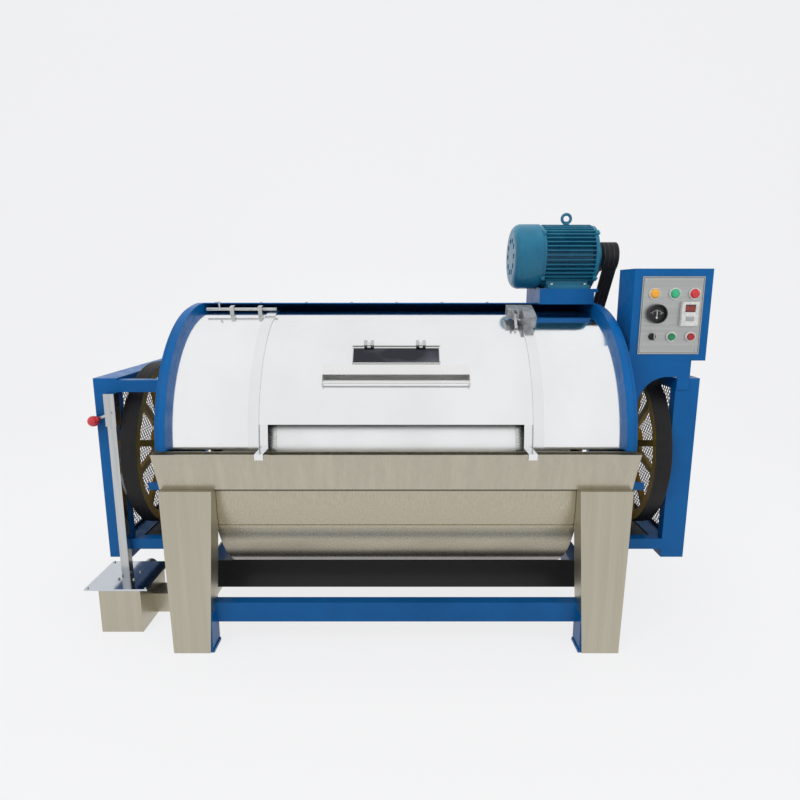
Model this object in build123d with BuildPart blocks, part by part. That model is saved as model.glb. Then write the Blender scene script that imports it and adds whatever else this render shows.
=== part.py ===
from build123d import *
from math import asin, atan2, cos, degrees, radians, sin, sqrt, tan
import os

# Industrial washing machine. X runs to the right, Y to the back, Z up, in millimetres.
# The floor is at Z = 0 and the drum turns about an axis along X in the plane Y = 0.

# Clearances and overruns
seat_gap = 0.3
running_gap = 0.05
slide_gap = 1.0
overrun = 20.0

# Axes of the casing
hood_z = 733.0
drum_z = 655.0

# Hood, door and arches
hood_radius = 483.0
hood_sheet = 3.0
hood_half_length = 836.0
hood_low_angle = 2.0
cover_front_angle = 88.0
cover_radius = 518.0
cover_sheet = 4.0
arch_outer_x = 840.0
arch_inner_x = 800.0
arch_groove_depth = 9.0
arch_groove_width = 15.0
arch_foot_z = 750.6
end_panel_sheet = 4.0
end_panel_x = 828.0
end_panel_low_z = 622.3

# Door guides
guide_outer_x = 521.0
guide_inner_x = 483.0
guide_depth = 16.0
guide_lip = 5.0
door_side_margin = 17.0
strip_low_angle = 1.0
strip_high_angle = 14.0
strip_sheet = 3.0
strip_hook_drop = 18.0
strip_inner_x = 453.0

# Door, rest place as photographed
door_low_angle = 12.5
door_high_angle = 102.0
handle_low_angle = 28.6
handle_high_angle = 37.0
handle_half_length = 264.0
handle_height = 30.0
handle_sheet = 4.0
hatch_low_angle = 39.5
hatch_high_angle = 48.5
hatch_half_length = 160.0
hatch_sheet = 4.0
hatch_lift = 12.0
hatch_hood_width = 20.0
hatch_pin_radius = 4.0
hatch_hinge_places = (-100.0, 91.0)
hatch_hinge_length = 36.0
hatch_knuckle_length = 12.0
hatch_leaf_width = 12.0

# Tub and apron
tub_radius = 504.0
tub_sheet = 4.0
tub_half_length = 650.0
tub_end_sheet = 6.0
tub_seam_angle = 24.0
tub_seam_width = 12.0
tub_seam_height = 3.0
apron_top_z = 750.0
apron_low_z = 619.0
apron_top_front = 552.0
apron_low_front = 530.0
apron_top_half = 840.0
apron_low_half = 826.0
apron_sheet = 3.0
apron_rim_height = 6.0
apron_back_y = 508.0
apron_rim_width = 6.0
shaft_hole_radius = 48.0

# Frame
leg_front_y = 549.0
leg_depth = 80.0
leg_inner_x = 668.0
leg_outer_x = 806.0
leg_top_z = 616.0
leg_wall = 8.0
front_beam_low_z = 100.0
front_beam_high_z = 176.0
front_beam_depth = 40.0
side_rail_width = 60.0
side_rail_low_z = 100.0
side_rail_high_z = 160.0
bearing_beam_low_z = 520.0
bearing_beam_inner_x = 710.0
bearing_beam_outer_x = 800.0
rear_beam_low_z = 540.0
cradle_front_y = 310.0
cradle_sheet = 6.0
cradle_low_z = 130.0
cradle_high_z = 245.0
foot_plate_thickness = 12.0
foot_plate_overhang = 4.0
anchor_spacing_x = 1474.0
anchor_spacing_y = 1018.0
anchor_hole_radius = 9.0
gusset_reach = 88.0
gusset_low_z = 594.0
gusset_high_z = 622.0
gusset_front_y = 470.0
gusset_depth = 40.0
gusset_sheet = 6.0

# Leg covers
cover_top_outer_x = 822.0
cover_low_outer_x = 811.0
cover_top_inner_x = 638.0
cover_low_inner_x = 677.0
cover_front_y = 553.0
cover_back_y = 470.0
cover_top_z = 618.7

# Drum
drum_radius = 440.0
drum_sheet = 4.0
drum_half_length = 625.0
drum_end_sheet = 6.0
doorway_low_angle = -5.0
doorway_high_angle = 45.0
doorway_half_length = 430.0
drum_hole_radius = 8.0
drum_hole_rows = 12
drum_hole_columns = 9
drum_hole_margin = 90.0
rib_sheet = 3.0
rib_height = 90.0
rib_width = 70.0
rib_count = 3
shaft_radius = 40.0
shaft_flange_radius = 120.0
shaft_flange_thickness = 16.0
shaft_end_x = 1052.0
drum_door_sheet = 4.0
drum_door_margin_angle = 3.0
drum_door_half_length = 445.0
drum_door_travel = 56.0
drum_door_rail_width = 14.0
drum_door_rail_lip = 2.0
drum_door_pull_height = 12.0

# Bearings and seals
housing_inner_x = 724.0
housing_outer_x = 786.0
housing_radius = 92.0
housing_foot_half = 120.0
bearing_outer_radius = 70.0
seal_radius = 80.0
seal_thickness = 14.0

# Wheels and belts
wheel_inner_x = 985.0
wheel_outer_x = 1045.0
wheel_radius = 345.0
wheel_rim_depth = 34.0
wheel_hub_radius = 75.0
wheel_spoke_pairs = 6
wheel_spoke_width = 26.0
wheel_spoke_thickness = 16.0
wheel_spoke_splay_angle = 13.0
belt_count = 3
belt_pitch = 19.0
belt_width = 16.4
belt_thickness = 11.0
groove_width = 17.0
groove_depth = 12.0
small_sheave_radius = 62.5

# Countershaft behind the machine
counter_y = 560.0
counter_z = 920.0
counter_radius = 25.0
counter_half_length = 1052.0
big_sheave_inner_x = 856.0
big_sheave_outer_x = 916.0
big_sheave_radius = 200.0
sheave_web_thickness = 14.0
sheave_hub_radius = 55.0
stand_x = 780.0
stand_width = 60.0
stand_depth = 60.0
stand_half_gap = 42.0
pillow_radius = 48.0

# Motor
motor_y = 50.0
motor_z = 1440.0
motor_inner_x = 603.0
motor_outer_x = 800.0
motor_body_radius = 108.0
motor_fin_radius = 130.0
motor_fin_count = 44
motor_fin_thickness = 4.0
motor_bore_radius = 70.0
fan_cover_start_x = 480.0
fan_cover_radius = 132.0
fan_cover_sheet = 3.0
fan_cover_round = 34.0
fan_slot_count = 10
shield_end_x = 846.0
shield_radius = 126.0
shield_thickness = 14.0
rotor_radius = 66.0
motor_shaft_radius = 19.0
motor_pulley_radius = 60.0
eye_x = 706.0
eye_ring_radius = 18.0
eye_wire_radius = 6.0
motor_foot_z = 1308.0
motor_foot_thickness = 16.0
motor_foot_half_y = 108.0
motor_foot_inner_x = 615.0
motor_foot_outer_x = 785.0
motor_foot_web = 18.0
terminal_box_half = 55.0
terminal_box_front_y = 150.0
motor_foot_web_offset = 70.0
rotor_margin = 14.0
fan_radius = 104.0
fan_x = 500.0
fan_thickness = 18.0
shield_boss_radius = 52.0
shield_lug_radius = 12.0
shield_lug_angles = (45.0, 135.0, 225.0, 315.0)
terminal_box_depth = 60.0
base_inner_x = 580.0
base_outer_x = 815.0
base_front_y = 75.0
base_back_y = 175.0
base_plate = 14.0
base_web = 12.0

# Control box, its panel and support
box_left_x = 871.0
box_right_x = 1159.0
box_front_y = 296.0
box_back_y = 148.0
box_low_z = 1043.0
box_high_z = 1380.0
box_sheet = 3.0
panel_left_x = 901.0
panel_right_x = 1129.0
panel_low_z = 1068.0
panel_high_z = 1352.0
panel_thickness = 3.0
support_left_x = 841.0
support_right_x = 1107.0
support_sheet = 6.0
support_opening_x = 918.0
support_opening_round = 106.0
support_opening_high_z = 981.0
support_foot_z = 620.0

# Things on the panel, as places on its front
lamp_radius = 17.0
lamp_height = 16.0
lamp_bezel_radius = 21.0
lamp_z = 1290.0
lamp_places = (947.0, 1021.0, 1093.0)
meter_x = 959.0
meter_z = 1217.0
meter_radius = 35.0
meter_depth = 18.0
meter_needle_length = 24.0
meter_needle_width = 2.4
meter_needle_thickness = 1.0
meter_rim = 4.0
meter_recess_depth = 12.0
meter_pivot_drop = 14.0
meter_pivot_radius = 4.0
timer_x = 1078.0
timer_z = 1217.0
timer_width = 62.0
timer_height = 88.0
timer_depth = 14.0
timer_window_width = 38.0
timer_window_height = 28.0
timer_key_width = 14.0
timer_key_height = 16.0
timer_key_travel = 1.5
timer_key_depth = 6.0
timer_recess_depth = 2.0
timer_window_rise = 20.0
timer_key_drop = 17.6
selector_x = 950.0
selector_z = 1133.0
selector_radius = 13.0
selector_height = 20.0
selector_grip_width = 6.0
start_x = 1020.0
stop_x = 1091.0
button_z = 1133.0
button_radius = 13.0
button_height = 14.0
button_travel = 4.0
button_bezel_radius = 19.0
button_bezel_height = 6.0

# Guard frames
post_inner_x = 1060.0
post_outer_x = 1149.0
post_front_y = 290.0
post_depth = 40.0
guard_back_y = 680.0
guard_top_z = 975.0
guard_low_z = 250.0
guard_rail = 43.0
upper_cross_low_z = 922.0
upper_cross_high_z = 968.0
lower_cross_low_z = 284.0
lower_cross_high_z = 327.0
machine_side_x = 841.0
tray_sheet = 5.0
mesh_thickness = 3.0
mesh_x = 1130.0
mesh_columns = 14
mesh_rows = 10
mesh_wire = 6.0

# Drain box, lever post and lever
drain_left_x = 1140.0
drain_right_x = 981.0
drain_front_y = 418.0
drain_back_y = 190.0
drain_high_z = 173.0
drain_sheet = 4.0
drain_plate_left_x = 1194.0
drain_plate_right_x = 953.0
drain_plate_front_y = 420.0
drain_plate_back_y = 186.0
drain_plate_thickness = 7.0
post_x = 1075.0
lever_post_y = 312.0
lever_post_half = 16.0
lever_post_wall = 3.0
lever_head_low_z = 797.0
lever_head_top_z = 922.0
lever_head_half = 20.0
lever_pivot_z = 851.0
lever_pivot_offset = 8.0
lever_radius = 6.0
lever_length = 92.0
lever_drop_angle = 24.0
ball_radius = 21.0
lever_pin_radius = 4.0
drain_rod_radius = 5.0
drain_rod_offset = 3.0
yoke_half_x = 5.0
yoke_half_y = 12.0
yoke_low_z = 826.0
yoke_high_z = 874.0
yoke_window_half_y = 7.5
yoke_window_half_z = 13.0
plug_radius = 42.0
plug_height = 20.0
shelf_z = 100.0
shelf_hole_radius = 34.0
lever_slot_low_z = 826.0
lever_slot_high_z = 876.0
duct_front_y = 300.0
duct_back_y = 210.0
duct_low_z = 15.0
duct_high_z = 95.0
riser_inner_x = 450.0
riser_outer_x = 530.0
duct_run_inner_x = 770.0
duct_run_outer_x = 860.0
riser_front_y = 100.0
riser_back_y = 190.0
outlet_radius = 28.0
outlet_z = 138.0
outlet_length = 60.0
screw_radius = 5.0
screw_height = 4.0
screw_margin = 9.0

# Slide bolt and interlock on the hood
bolt_angle = 77.5
bolt_lift = 24.0
bolt_radius = 6.0
bolt_left_x = 760.0
bolt_right_x = 480.0
bolt_clip_places = (657.0, 545.0)
bolt_clip_length = 16.0
bolt_clip_half_width = 13.0
bolt_knob_length = 30.0
bolt_knob_radius = 5.0
lock_angle = 67.5
lock_left_x = 430.0
lock_right_x = 530.0
lock_half_width = 52.0
lock_ear_sheet = 5.0
lock_lift = 10.0
lock_height = 46.0
lock_lever_length = 40.0
lock_lever_thickness = 4.0
lock_lever_width = 10.0
lock_roller_radius = 7.0
lock_ear_width = 28.0
lock_pin_radius = 3.0

# Pipes at the rear
pipe_collar_y = 500.0
pipe_collar_length = 10.0
water_radius = 30.0
steam_radius = 20.0
pipe_wall = 4.0
pipe_length = 90.0
pipe_z = 480.0
water_x = 300.0
steam_x = 120.0

os.makedirs("parts", exist_ok=True)


def write(builder, name):
    """Name a finished piece and write it to its own file."""
    builder.part.label = name
    export_step(builder.part, f"parts/{name}.step")


def block(x_a, x_b, y_a, y_b, z_a, z_b, mode=Mode.ADD):
    """Add a block between two corners to the part being built."""
    with Locations((min(x_a, x_b), min(y_a, y_b), min(z_a, z_b))):
        Box(abs(x_b - x_a), abs(y_b - y_a), abs(z_b - z_a),
            align=(Align.MIN, Align.MIN, Align.MIN), mode=mode)


def rod_x(x_a, x_b, y, z, radius, mode=Mode.ADD):
    """Add a round bar along X to the part being built."""
    with BuildSketch(Plane.YZ.offset(min(x_a, x_b))) as profile:
        with Locations((y, z)):
            Circle(radius)
    extrude(profile.sketch, amount=abs(x_b - x_a), mode=mode)


def rod_y(x, y_a, y_b, z, radius, mode=Mode.ADD):
    """Add a round bar along Y to the part being built."""
    with BuildSketch(Plane.XZ.offset(-max(y_a, y_b))) as profile:
        with Locations((x, z)):
            Circle(radius)
    extrude(profile.sketch, amount=abs(y_b - y_a), mode=mode)


def rod_z(x, y, z_a, z_b, radius, mode=Mode.ADD):
    """Add an upright round bar to the part being built."""
    with BuildSketch(Plane.XY.offset(min(z_a, z_b))) as profile:
        with Locations((x, y)):
            Circle(radius)
    extrude(profile.sketch, amount=abs(z_b - z_a), mode=mode)


def polar(radius, angle, centre_z):
    """Y and Z of a point at an angle above the front horizontal."""
    return (-radius * cos(radians(angle)), centre_z + radius * sin(radians(angle)))


def band(inner, outer, low_angle, high_angle, centre_z, x_a, x_b, mode=Mode.ADD):
    """Add a curved plate between two radii and two angles, straight along X."""
    with BuildSketch(Plane.YZ.offset(min(x_a, x_b))) as profile:
        with BuildLine():
            CenterArc((0, centre_z), outer, 180 - low_angle, low_angle - high_angle)
            CenterArc((0, centre_z), inner, 180 - low_angle, low_angle - high_angle)
            Line(polar(outer, low_angle, centre_z), polar(inner, low_angle, centre_z))
            Line(polar(outer, high_angle, centre_z), polar(inner, high_angle, centre_z))
        make_face()
    extrude(profile.sketch, amount=abs(x_b - x_a), mode=mode)


def polygon_plate(plane, points, amount, mode=Mode.ADD):
    """Add a flat plate with straight edges on a plane."""
    with BuildSketch(plane) as profile:
        with BuildLine():
            Polyline(*points, close=True)
        make_face()
    extrude(profile.sketch, amount=amount, mode=mode)


def write_both(right, name):
    """Write a piece made for the right end together with its mirror image for the left end."""
    with BuildPart() as both:
        add(right.part)
        mirror(right.part, about=Plane.YZ)
    write(both, name)


# Frame: front and rear legs, beams, side rails, uprights, ears and countershaft stands, welded
leg_back_y = leg_front_y - leg_depth

with BuildPart() as main_frame:
    for side in (-1, 1):
        block(side * leg_inner_x, side * leg_outer_x, -leg_front_y, -leg_back_y,
              foot_plate_thickness, leg_top_z)
        block(side * (leg_inner_x + leg_wall), side * leg_outer_x, -leg_front_y + leg_wall, -leg_back_y,
              foot_plate_thickness, leg_top_z, mode=Mode.SUBTRACT)
    block(-leg_inner_x, leg_inner_x, -leg_front_y + front_beam_depth, -leg_back_y,
          front_beam_low_z, front_beam_high_z)
    for side in (-1, 1):
        block(side * leg_inner_x, side * leg_outer_x, leg_back_y, leg_front_y,
              foot_plate_thickness, leg_top_z)
        block(side * (leg_inner_x + leg_wall), side * leg_outer_x, leg_back_y, leg_front_y - leg_wall,
              foot_plate_thickness, leg_top_z, mode=Mode.SUBTRACT)
    block(-leg_inner_x, leg_inner_x, leg_front_y - leg_wall, leg_front_y,
          front_beam_low_z, front_beam_high_z)
    block(-leg_inner_x, leg_inner_x, leg_front_y - leg_wall, leg_front_y,
          rear_beam_low_z, leg_top_z)
    for side in (-1, 1):
        block(side * (leg_outer_x - side_rail_width), side * leg_outer_x,
              leg_wall - leg_front_y, leg_front_y - leg_wall, side_rail_low_z, side_rail_high_z)
        block(side * bearing_beam_inner_x, side * bearing_beam_outer_x,
              leg_wall - leg_front_y, leg_front_y - leg_wall, bearing_beam_low_z, drum_z - housing_radius)
    for side in (-1, 1):
        block(side * (leg_outer_x - side_rail_width), side * leg_outer_x, -post_front_y,
              post_depth - post_front_y, side_rail_high_z, bearing_beam_low_z)
    rail_inner_x = leg_outer_x - side_rail_width
    block(-rail_inner_x, rail_inner_x, -cradle_front_y, cradle_sheet - cradle_front_y,
          cradle_low_z, cradle_high_z)
    for side in (-1, 1):
        ear = [
            (side * bearing_beam_outer_x, -gusset_front_y),
            (side * (leg_outer_x + gusset_reach), -gusset_front_y + gusset_sheet),
            (side * bearing_beam_outer_x, -gusset_front_y + gusset_depth),
        ]
        polygon_plate(Plane.XY.offset(gusset_low_z), ear, gusset_high_z - gusset_low_z)
        block(side * (bearing_beam_outer_x - gusset_depth), side * bearing_beam_outer_x,
              -gusset_front_y, -gusset_front_y + gusset_depth, drum_z - housing_radius, gusset_high_z)
    for side in (-1, 1):
        low_x = side * (stand_x - stand_width / 2)
        high_x = side * (stand_x + stand_width / 2)
        block(low_x, high_x, counter_y - stand_depth / 2, counter_y + stand_depth / 2,
              stand_half_gap, counter_z - pillow_radius)
        block(low_x, high_x, leg_front_y, counter_y + stand_depth / 2, front_beam_low_z,
              front_beam_high_z)
    block(-stand_x, stand_x, counter_y, counter_y + stand_depth / 2, rear_beam_low_z, leg_top_z)
write(main_frame, "main_frame")

with BuildPart() as foot_plates:
    for side in (-1, 1):
        for end in (-1, 1):
            block(side * (leg_inner_x - foot_plate_overhang), side * (leg_outer_x + foot_plate_overhang),
                  end * leg_back_y, end * leg_front_y, 0, foot_plate_thickness)
    with BuildSketch(Plane.XY):
        with GridLocations(anchor_spacing_x, anchor_spacing_y, 2, 2):
            Circle(anchor_hole_radius)
    extrude(amount=foot_plate_thickness, mode=Mode.SUBTRACT)
write(foot_plates, "foot_plates")

# Stainless covers on the front legs, wide at the top and narrow at the floor
with BuildPart() as leg_cover:
    outline = [
        (cover_low_inner_x, 0),
        (cover_low_outer_x, 0),
        (cover_top_outer_x, cover_top_z),
        (cover_top_inner_x, cover_top_z),
    ]
    polygon_plate(Plane.XZ.offset(cover_back_y), outline, cover_front_y - cover_back_y)
    block(leg_inner_x - foot_plate_overhang - seat_gap, leg_outer_x + foot_plate_overhang + seat_gap,
          -leg_front_y - seat_gap, -cover_back_y, 0, foot_plate_thickness + seat_gap, mode=Mode.SUBTRACT)
    block(leg_inner_x - seat_gap, leg_outer_x + seat_gap, -leg_front_y - seat_gap, -cover_back_y,
          0, leg_top_z + seat_gap, mode=Mode.SUBTRACT)
    block(cover_top_inner_x, leg_inner_x, front_beam_depth - leg_front_y - seat_gap, -cover_back_y,
          front_beam_low_z - seat_gap, front_beam_high_z + seat_gap, mode=Mode.SUBTRACT)
    rod_x(cover_top_inner_x - overrun, tub_half_length + tub_end_sheet + seat_gap, 0, drum_z,
          tub_radius + tub_seam_height + seat_gap, mode=Mode.SUBTRACT)
write_both(leg_cover, "leg_covers")

# Tub: a lower half cylinder about the drum axis with straight walls up to the hood
with BuildPart() as tub:
    band(tub_radius - tub_sheet, tub_radius, -180, 0, drum_z, -tub_half_length, tub_half_length)
    for side in (-1, 1):
        block(-tub_half_length, tub_half_length, side * (tub_radius - tub_sheet), side * tub_radius,
              drum_z, hood_z)
    for low_angle in (-tub_seam_angle, tub_seam_angle - 180):
        seam_angle = degrees(tub_seam_width / tub_radius)
        band(tub_radius - tub_sheet, tub_radius + tub_seam_height, low_angle,
             low_angle + seam_angle, drum_z, -tub_half_length, tub_half_length)
    riser_meet_z = drum_z - sqrt((tub_radius - tub_sheet) ** 2 - riser_back_y ** 2)
    block(-riser_outer_x + drain_sheet, -riser_inner_x - drain_sheet, riser_front_y + drain_sheet,
          riser_back_y - drain_sheet, drum_z - tub_radius - overrun, riser_meet_z + overrun,
          mode=Mode.SUBTRACT)
    for pipe_x, pipe_radius in ((water_x, water_radius), (steam_x, steam_radius)):
        rod_y(pipe_x, tub_radius / 2, tub_radius + overrun, pipe_z, pipe_radius - pipe_wall,
              mode=Mode.SUBTRACT)
write(tub, "tub")

with BuildPart() as tub_end:
    with BuildSketch(Plane.YZ.offset(tub_half_length)):
        with Locations((0, drum_z)):
            Circle(tub_radius)
            Rectangle(2 * tub_radius, tub_radius, align=(Align.CENTER, Align.MIN), mode=Mode.SUBTRACT)
        with Locations((0, hood_z)):
            Circle(hood_radius - hood_sheet - seat_gap)
        with Locations((0, drum_z)):
            Rectangle(2 * tub_radius, hood_z - drum_z, align=(Align.CENTER, Align.MIN))
        with Locations((0, drum_z)):
            Circle(shaft_hole_radius, mode=Mode.SUBTRACT)
    extrude(amount=tub_end_sheet)
write_both(tub_end, "tub_ends")

# Apron: an open trough across the front, wider at its rim
with BuildPart() as apron:
    for inset, mode in ((0, Mode.ADD), (apron_sheet, Mode.SUBTRACT)):
        with BuildSketch(Plane.XY.offset(apron_low_z + inset)):
            with Locations((0, -(apron_low_front + apron_back_y) / 2)):
                Rectangle(2 * (apron_low_half - inset), apron_low_front - apron_back_y - 2 * inset)
        with BuildSketch(Plane.XY.offset(apron_top_z)):
            with Locations((0, -(apron_top_front + apron_back_y) / 2)):
                Rectangle(2 * (apron_top_half - inset), apron_top_front - apron_back_y - 2 * inset)
        loft(ruled=True, mode=mode)
    block(-apron_top_half, apron_top_half, -apron_top_front, -apron_top_front + apron_rim_width,
          apron_top_z - apron_rim_height, apron_top_z)
write(apron, "apron")

# Hood: fixed side shells, guides, rear cover, arches and end panels
hood_inner_radius = hood_radius - hood_sheet
hood_high_angle = 180 - hood_low_angle

with BuildPart() as hood_side:
    band(hood_inner_radius, hood_radius, hood_low_angle, hood_high_angle, hood_z,
         guide_outer_x, hood_half_length)
write_both(hood_side, "hood_sides")

guide_top_radius = hood_radius + guide_lip
with BuildPart() as door_guides:
    for side in (-1, 1):
        band(guide_top_radius - guide_depth, guide_top_radius, hood_low_angle, hood_high_angle, hood_z,
             side * guide_inner_x, side * guide_outer_x)
        band(hood_inner_radius - slide_gap, hood_radius + slide_gap, 0, 180, hood_z,
             side * guide_inner_x, side * (guide_inner_x + door_side_margin + 2 * slide_gap),
             mode=Mode.SUBTRACT)
        strip_outer_radius = hood_inner_radius - hood_sheet
        band(strip_outer_radius - strip_sheet, strip_outer_radius, strip_low_angle, strip_high_angle,
             hood_z, side * strip_inner_x, side * guide_inner_x)
        hook_front = apron_top_front + seat_gap
        hook_low_z = apron_top_z + seat_gap
        block(side * strip_inner_x, side * guide_inner_x, -hook_front, strip_sheet - strip_outer_radius,
              hook_low_z, hook_low_z + strip_sheet)
        block(side * strip_inner_x, side * guide_inner_x, -hook_front - strip_sheet, -hook_front,
              hook_low_z - strip_hook_drop, hook_low_z + strip_sheet)
write(door_guides, "door_guides")

with BuildPart() as rear_cover:
    band(cover_radius - cover_sheet, cover_radius, cover_front_angle, 180, hood_z,
         -arch_inner_x, arch_inner_x)
    block(-arch_inner_x, arch_inner_x, cover_radius - cover_sheet, cover_radius, end_panel_low_z, hood_z)
write(rear_cover, "rear_cover")

with BuildPart() as arch:
    arch_foot_angle = degrees(asin((arch_foot_z - hood_z) / hood_radius))
    band(hood_radius + seat_gap, cover_radius, arch_foot_angle, 180, hood_z, arch_inner_x, arch_outer_x)
    block(arch_inner_x, arch_outer_x, hood_radius + seat_gap, cover_radius, end_panel_low_z, hood_z)
    band(cover_radius - arch_groove_depth, cover_radius + overrun, 0, 180, hood_z,
         arch_outer_x - arch_groove_width, arch_outer_x + overrun, mode=Mode.SUBTRACT)
write_both(arch, "arches")

with BuildPart() as end_panel:
    with BuildSketch(Plane.YZ.offset(end_panel_x)):
        panel_radius = hood_inner_radius - seat_gap
        with Locations((0, hood_z)):
            Circle(panel_radius)
            Rectangle(2 * panel_radius, panel_radius, align=(Align.CENTER, Align.MAX))
        with Locations((0, end_panel_low_z)):
            Rectangle(2 * cover_radius, cover_radius, align=(Align.CENTER, Align.MAX),
                      mode=Mode.SUBTRACT)
        with Locations((0, drum_z)):
            Circle(shaft_hole_radius, mode=Mode.SUBTRACT)
            Rectangle(2 * shaft_hole_radius, cover_radius, align=(Align.CENTER, Align.MAX),
                      mode=Mode.SUBTRACT)
    extrude(amount=end_panel_sheet)
write_both(end_panel, "end_panels")

# Sliding door with its handle and the hood of its hatch, whose pin line is just above its edge
hatch_gap_angle = degrees(slide_gap / hood_radius)
hood_edge_angle = degrees(hatch_hood_width / hood_radius)
pin_radius_place = hood_radius + hatch_lift + hatch_pin_radius
hatch_pin = polar(pin_radius_place, hatch_high_angle + hatch_gap_angle, hood_z)
with BuildPart() as door:
    door_half = guide_inner_x + door_side_margin
    band(hood_inner_radius, hood_radius, door_low_angle, door_high_angle, hood_z, -door_half, door_half)
    band(hood_radius, hood_radius + hatch_lift, hatch_high_angle + hatch_gap_angle,
         hatch_high_angle + hatch_gap_angle + hood_edge_angle, hood_z,
         -hatch_half_length - hatch_sheet, hatch_half_length + hatch_sheet)
    for pin_x in hatch_hinge_places:
        rod_x(pin_x - hatch_hinge_length / 2 - slide_gap, pin_x + hatch_hinge_length / 2 + slide_gap,
              *hatch_pin, 2 * hatch_pin_radius + slide_gap, mode=Mode.SUBTRACT)
write(door, "door")

with BuildPart() as door_handle:
    top_radius = hood_radius + handle_height
    sheet_angle = degrees(handle_sheet / hood_radius)
    handle_middle = (handle_low_angle + handle_high_angle) / 2
    band(top_radius - handle_sheet, top_radius, handle_middle, handle_high_angle, hood_z,
         -handle_half_length, handle_half_length)
    band(hood_radius, top_radius, handle_high_angle - sheet_angle, handle_high_angle, hood_z,
         -handle_half_length, handle_half_length)
    rod_x(-handle_half_length, handle_half_length,
          *polar(top_radius - 2 * handle_sheet, handle_low_angle + 2 * sheet_angle, hood_z), handle_sheet)
    for side in (-1, 1):
        foot_x = side * (handle_half_length - handle_sheet)
        band(hood_radius, top_radius, handle_low_angle, handle_high_angle, hood_z,
             side * handle_half_length, foot_x)
write(door_handle, "door_handle")


with BuildPart() as hatch:
    band(hood_radius + slide_gap, hood_radius + slide_gap + hatch_sheet, hatch_low_angle,
         hatch_high_angle - hatch_gap_angle, hood_z, -hatch_half_length, hatch_half_length)
    lip_angle = degrees(hatch_sheet / hood_radius)
    band(hood_radius + slide_gap, hood_radius + hatch_lift, hatch_low_angle,
         hatch_low_angle + lip_angle, hood_z, -hatch_half_length, hatch_half_length)
    for pin_x in hatch_hinge_places:
        knuckle_half = hatch_knuckle_length / 2
        rod_x(pin_x - knuckle_half, pin_x + knuckle_half, *hatch_pin, 2 * hatch_pin_radius)
        leaf_angle = degrees(hatch_leaf_width / hood_radius)
        band(hood_radius + slide_gap + hatch_sheet, hood_radius + hatch_lift, hatch_high_angle - leaf_angle,
             hatch_high_angle - hatch_gap_angle, hood_z, pin_x - knuckle_half, pin_x + knuckle_half)
        rod_x(pin_x - knuckle_half, pin_x + knuckle_half, *hatch_pin, hatch_pin_radius + running_gap,
              mode=Mode.SUBTRACT)
write(hatch, "hatch")

with BuildPart() as hatch_pins:
    for pin_x in hatch_hinge_places:
        pin_half = hatch_hinge_length / 2
        knuckle_half = hatch_knuckle_length / 2
        rod_x(pin_x - pin_half, pin_x + pin_half, *hatch_pin, hatch_pin_radius)
        for side in (-1, 1):
            rod_x(pin_x + side * (knuckle_half + seat_gap), pin_x + side * pin_half, *hatch_pin,
                  2 * hatch_pin_radius)
            band(hood_radius + hatch_lift + seat_gap, pin_radius_place, hatch_high_angle + hatch_gap_angle,
                 hatch_high_angle + hatch_gap_angle + hood_edge_angle, hood_z,
                 pin_x + side * (knuckle_half + seat_gap), pin_x + side * pin_half)
    band(0, hood_radius + hatch_lift, 0, 90, hood_z, -hatch_half_length, hatch_half_length,
         mode=Mode.SUBTRACT)
write(hatch_pins, "hatch_pins")

# Slide bolt over the left edge of the door, with its two clips
bolt_place = polar(hood_radius + bolt_lift, bolt_angle, hood_z)
with BuildPart() as slide_bolt:
    rod_x(-bolt_left_x, -bolt_right_x, *bolt_place, bolt_radius)
    knob_x = -(bolt_left_x + bolt_clip_places[0]) / 2
    knob_end = polar(hood_radius + bolt_lift + bolt_knob_length, bolt_angle, hood_z)
    knob_direction = (0, knob_end[0] - bolt_place[0], knob_end[1] - bolt_place[1])
    with BuildSketch(Plane(origin=(knob_x, *bolt_place), x_dir=(1, 0, 0), z_dir=knob_direction)):
        Circle(bolt_knob_radius)
    extrude(amount=bolt_knob_length)
write(slide_bolt, "slide_bolt")

with BuildPart() as bolt_clips:
    clip_half_angle = degrees(bolt_clip_half_width / (hood_radius + bolt_lift))
    for clip_x in bolt_clip_places:
        clip_base_radius = hood_radius + seat_gap
        band(clip_base_radius, hood_radius + bolt_lift + 2 * bolt_radius, bolt_angle - clip_half_angle,
             bolt_angle + clip_half_angle, hood_z, -clip_x - bolt_clip_length / 2,
             -clip_x + bolt_clip_length / 2)
    rod_x(-bolt_left_x, -bolt_right_x, *bolt_place, bolt_radius + seat_gap, mode=Mode.SUBTRACT)
write(bolt_clips, "bolt_clips")

# Door interlock: a cast body on the right guide with a sprung roller lever over the door edge
lock_half_angle = degrees(lock_half_width / hood_radius)
lock_base_radius = guide_top_radius + seat_gap
lock_top_radius = lock_base_radius + lock_height
lock_arm_radius = lock_top_radius - 2 * lock_roller_radius
lock_ear_angle = degrees(lock_ear_width / lock_top_radius)
lock_pin_angle = lock_angle - lock_ear_angle / 2
lock_pin = polar(lock_arm_radius, lock_pin_angle, hood_z)
lever_x = (lock_left_x + guide_inner_x) / 2
with BuildPart() as interlock_body:
    band(lock_base_radius, lock_top_radius, lock_angle - lock_half_angle, lock_angle + lock_half_angle,
         hood_z, guide_inner_x, lock_right_x)
    band(lock_base_radius + lock_lift, lock_top_radius, lock_angle, lock_angle + lock_half_angle,
         hood_z, lock_left_x, guide_inner_x)
    ear_start = lock_lever_width / 2 + slide_gap
    for side in (-1, 1):
        band(lock_arm_radius - 2 * lock_roller_radius, lock_top_radius, lock_angle - lock_ear_angle,
             lock_angle, hood_z, lever_x + side * ear_start, lever_x + side * (ear_start + lock_ear_sheet))
    rod_x(lever_x - ear_start, lever_x + ear_start, *lock_pin, lock_pin_radius)
write(interlock_body, "interlock_body")

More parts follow.
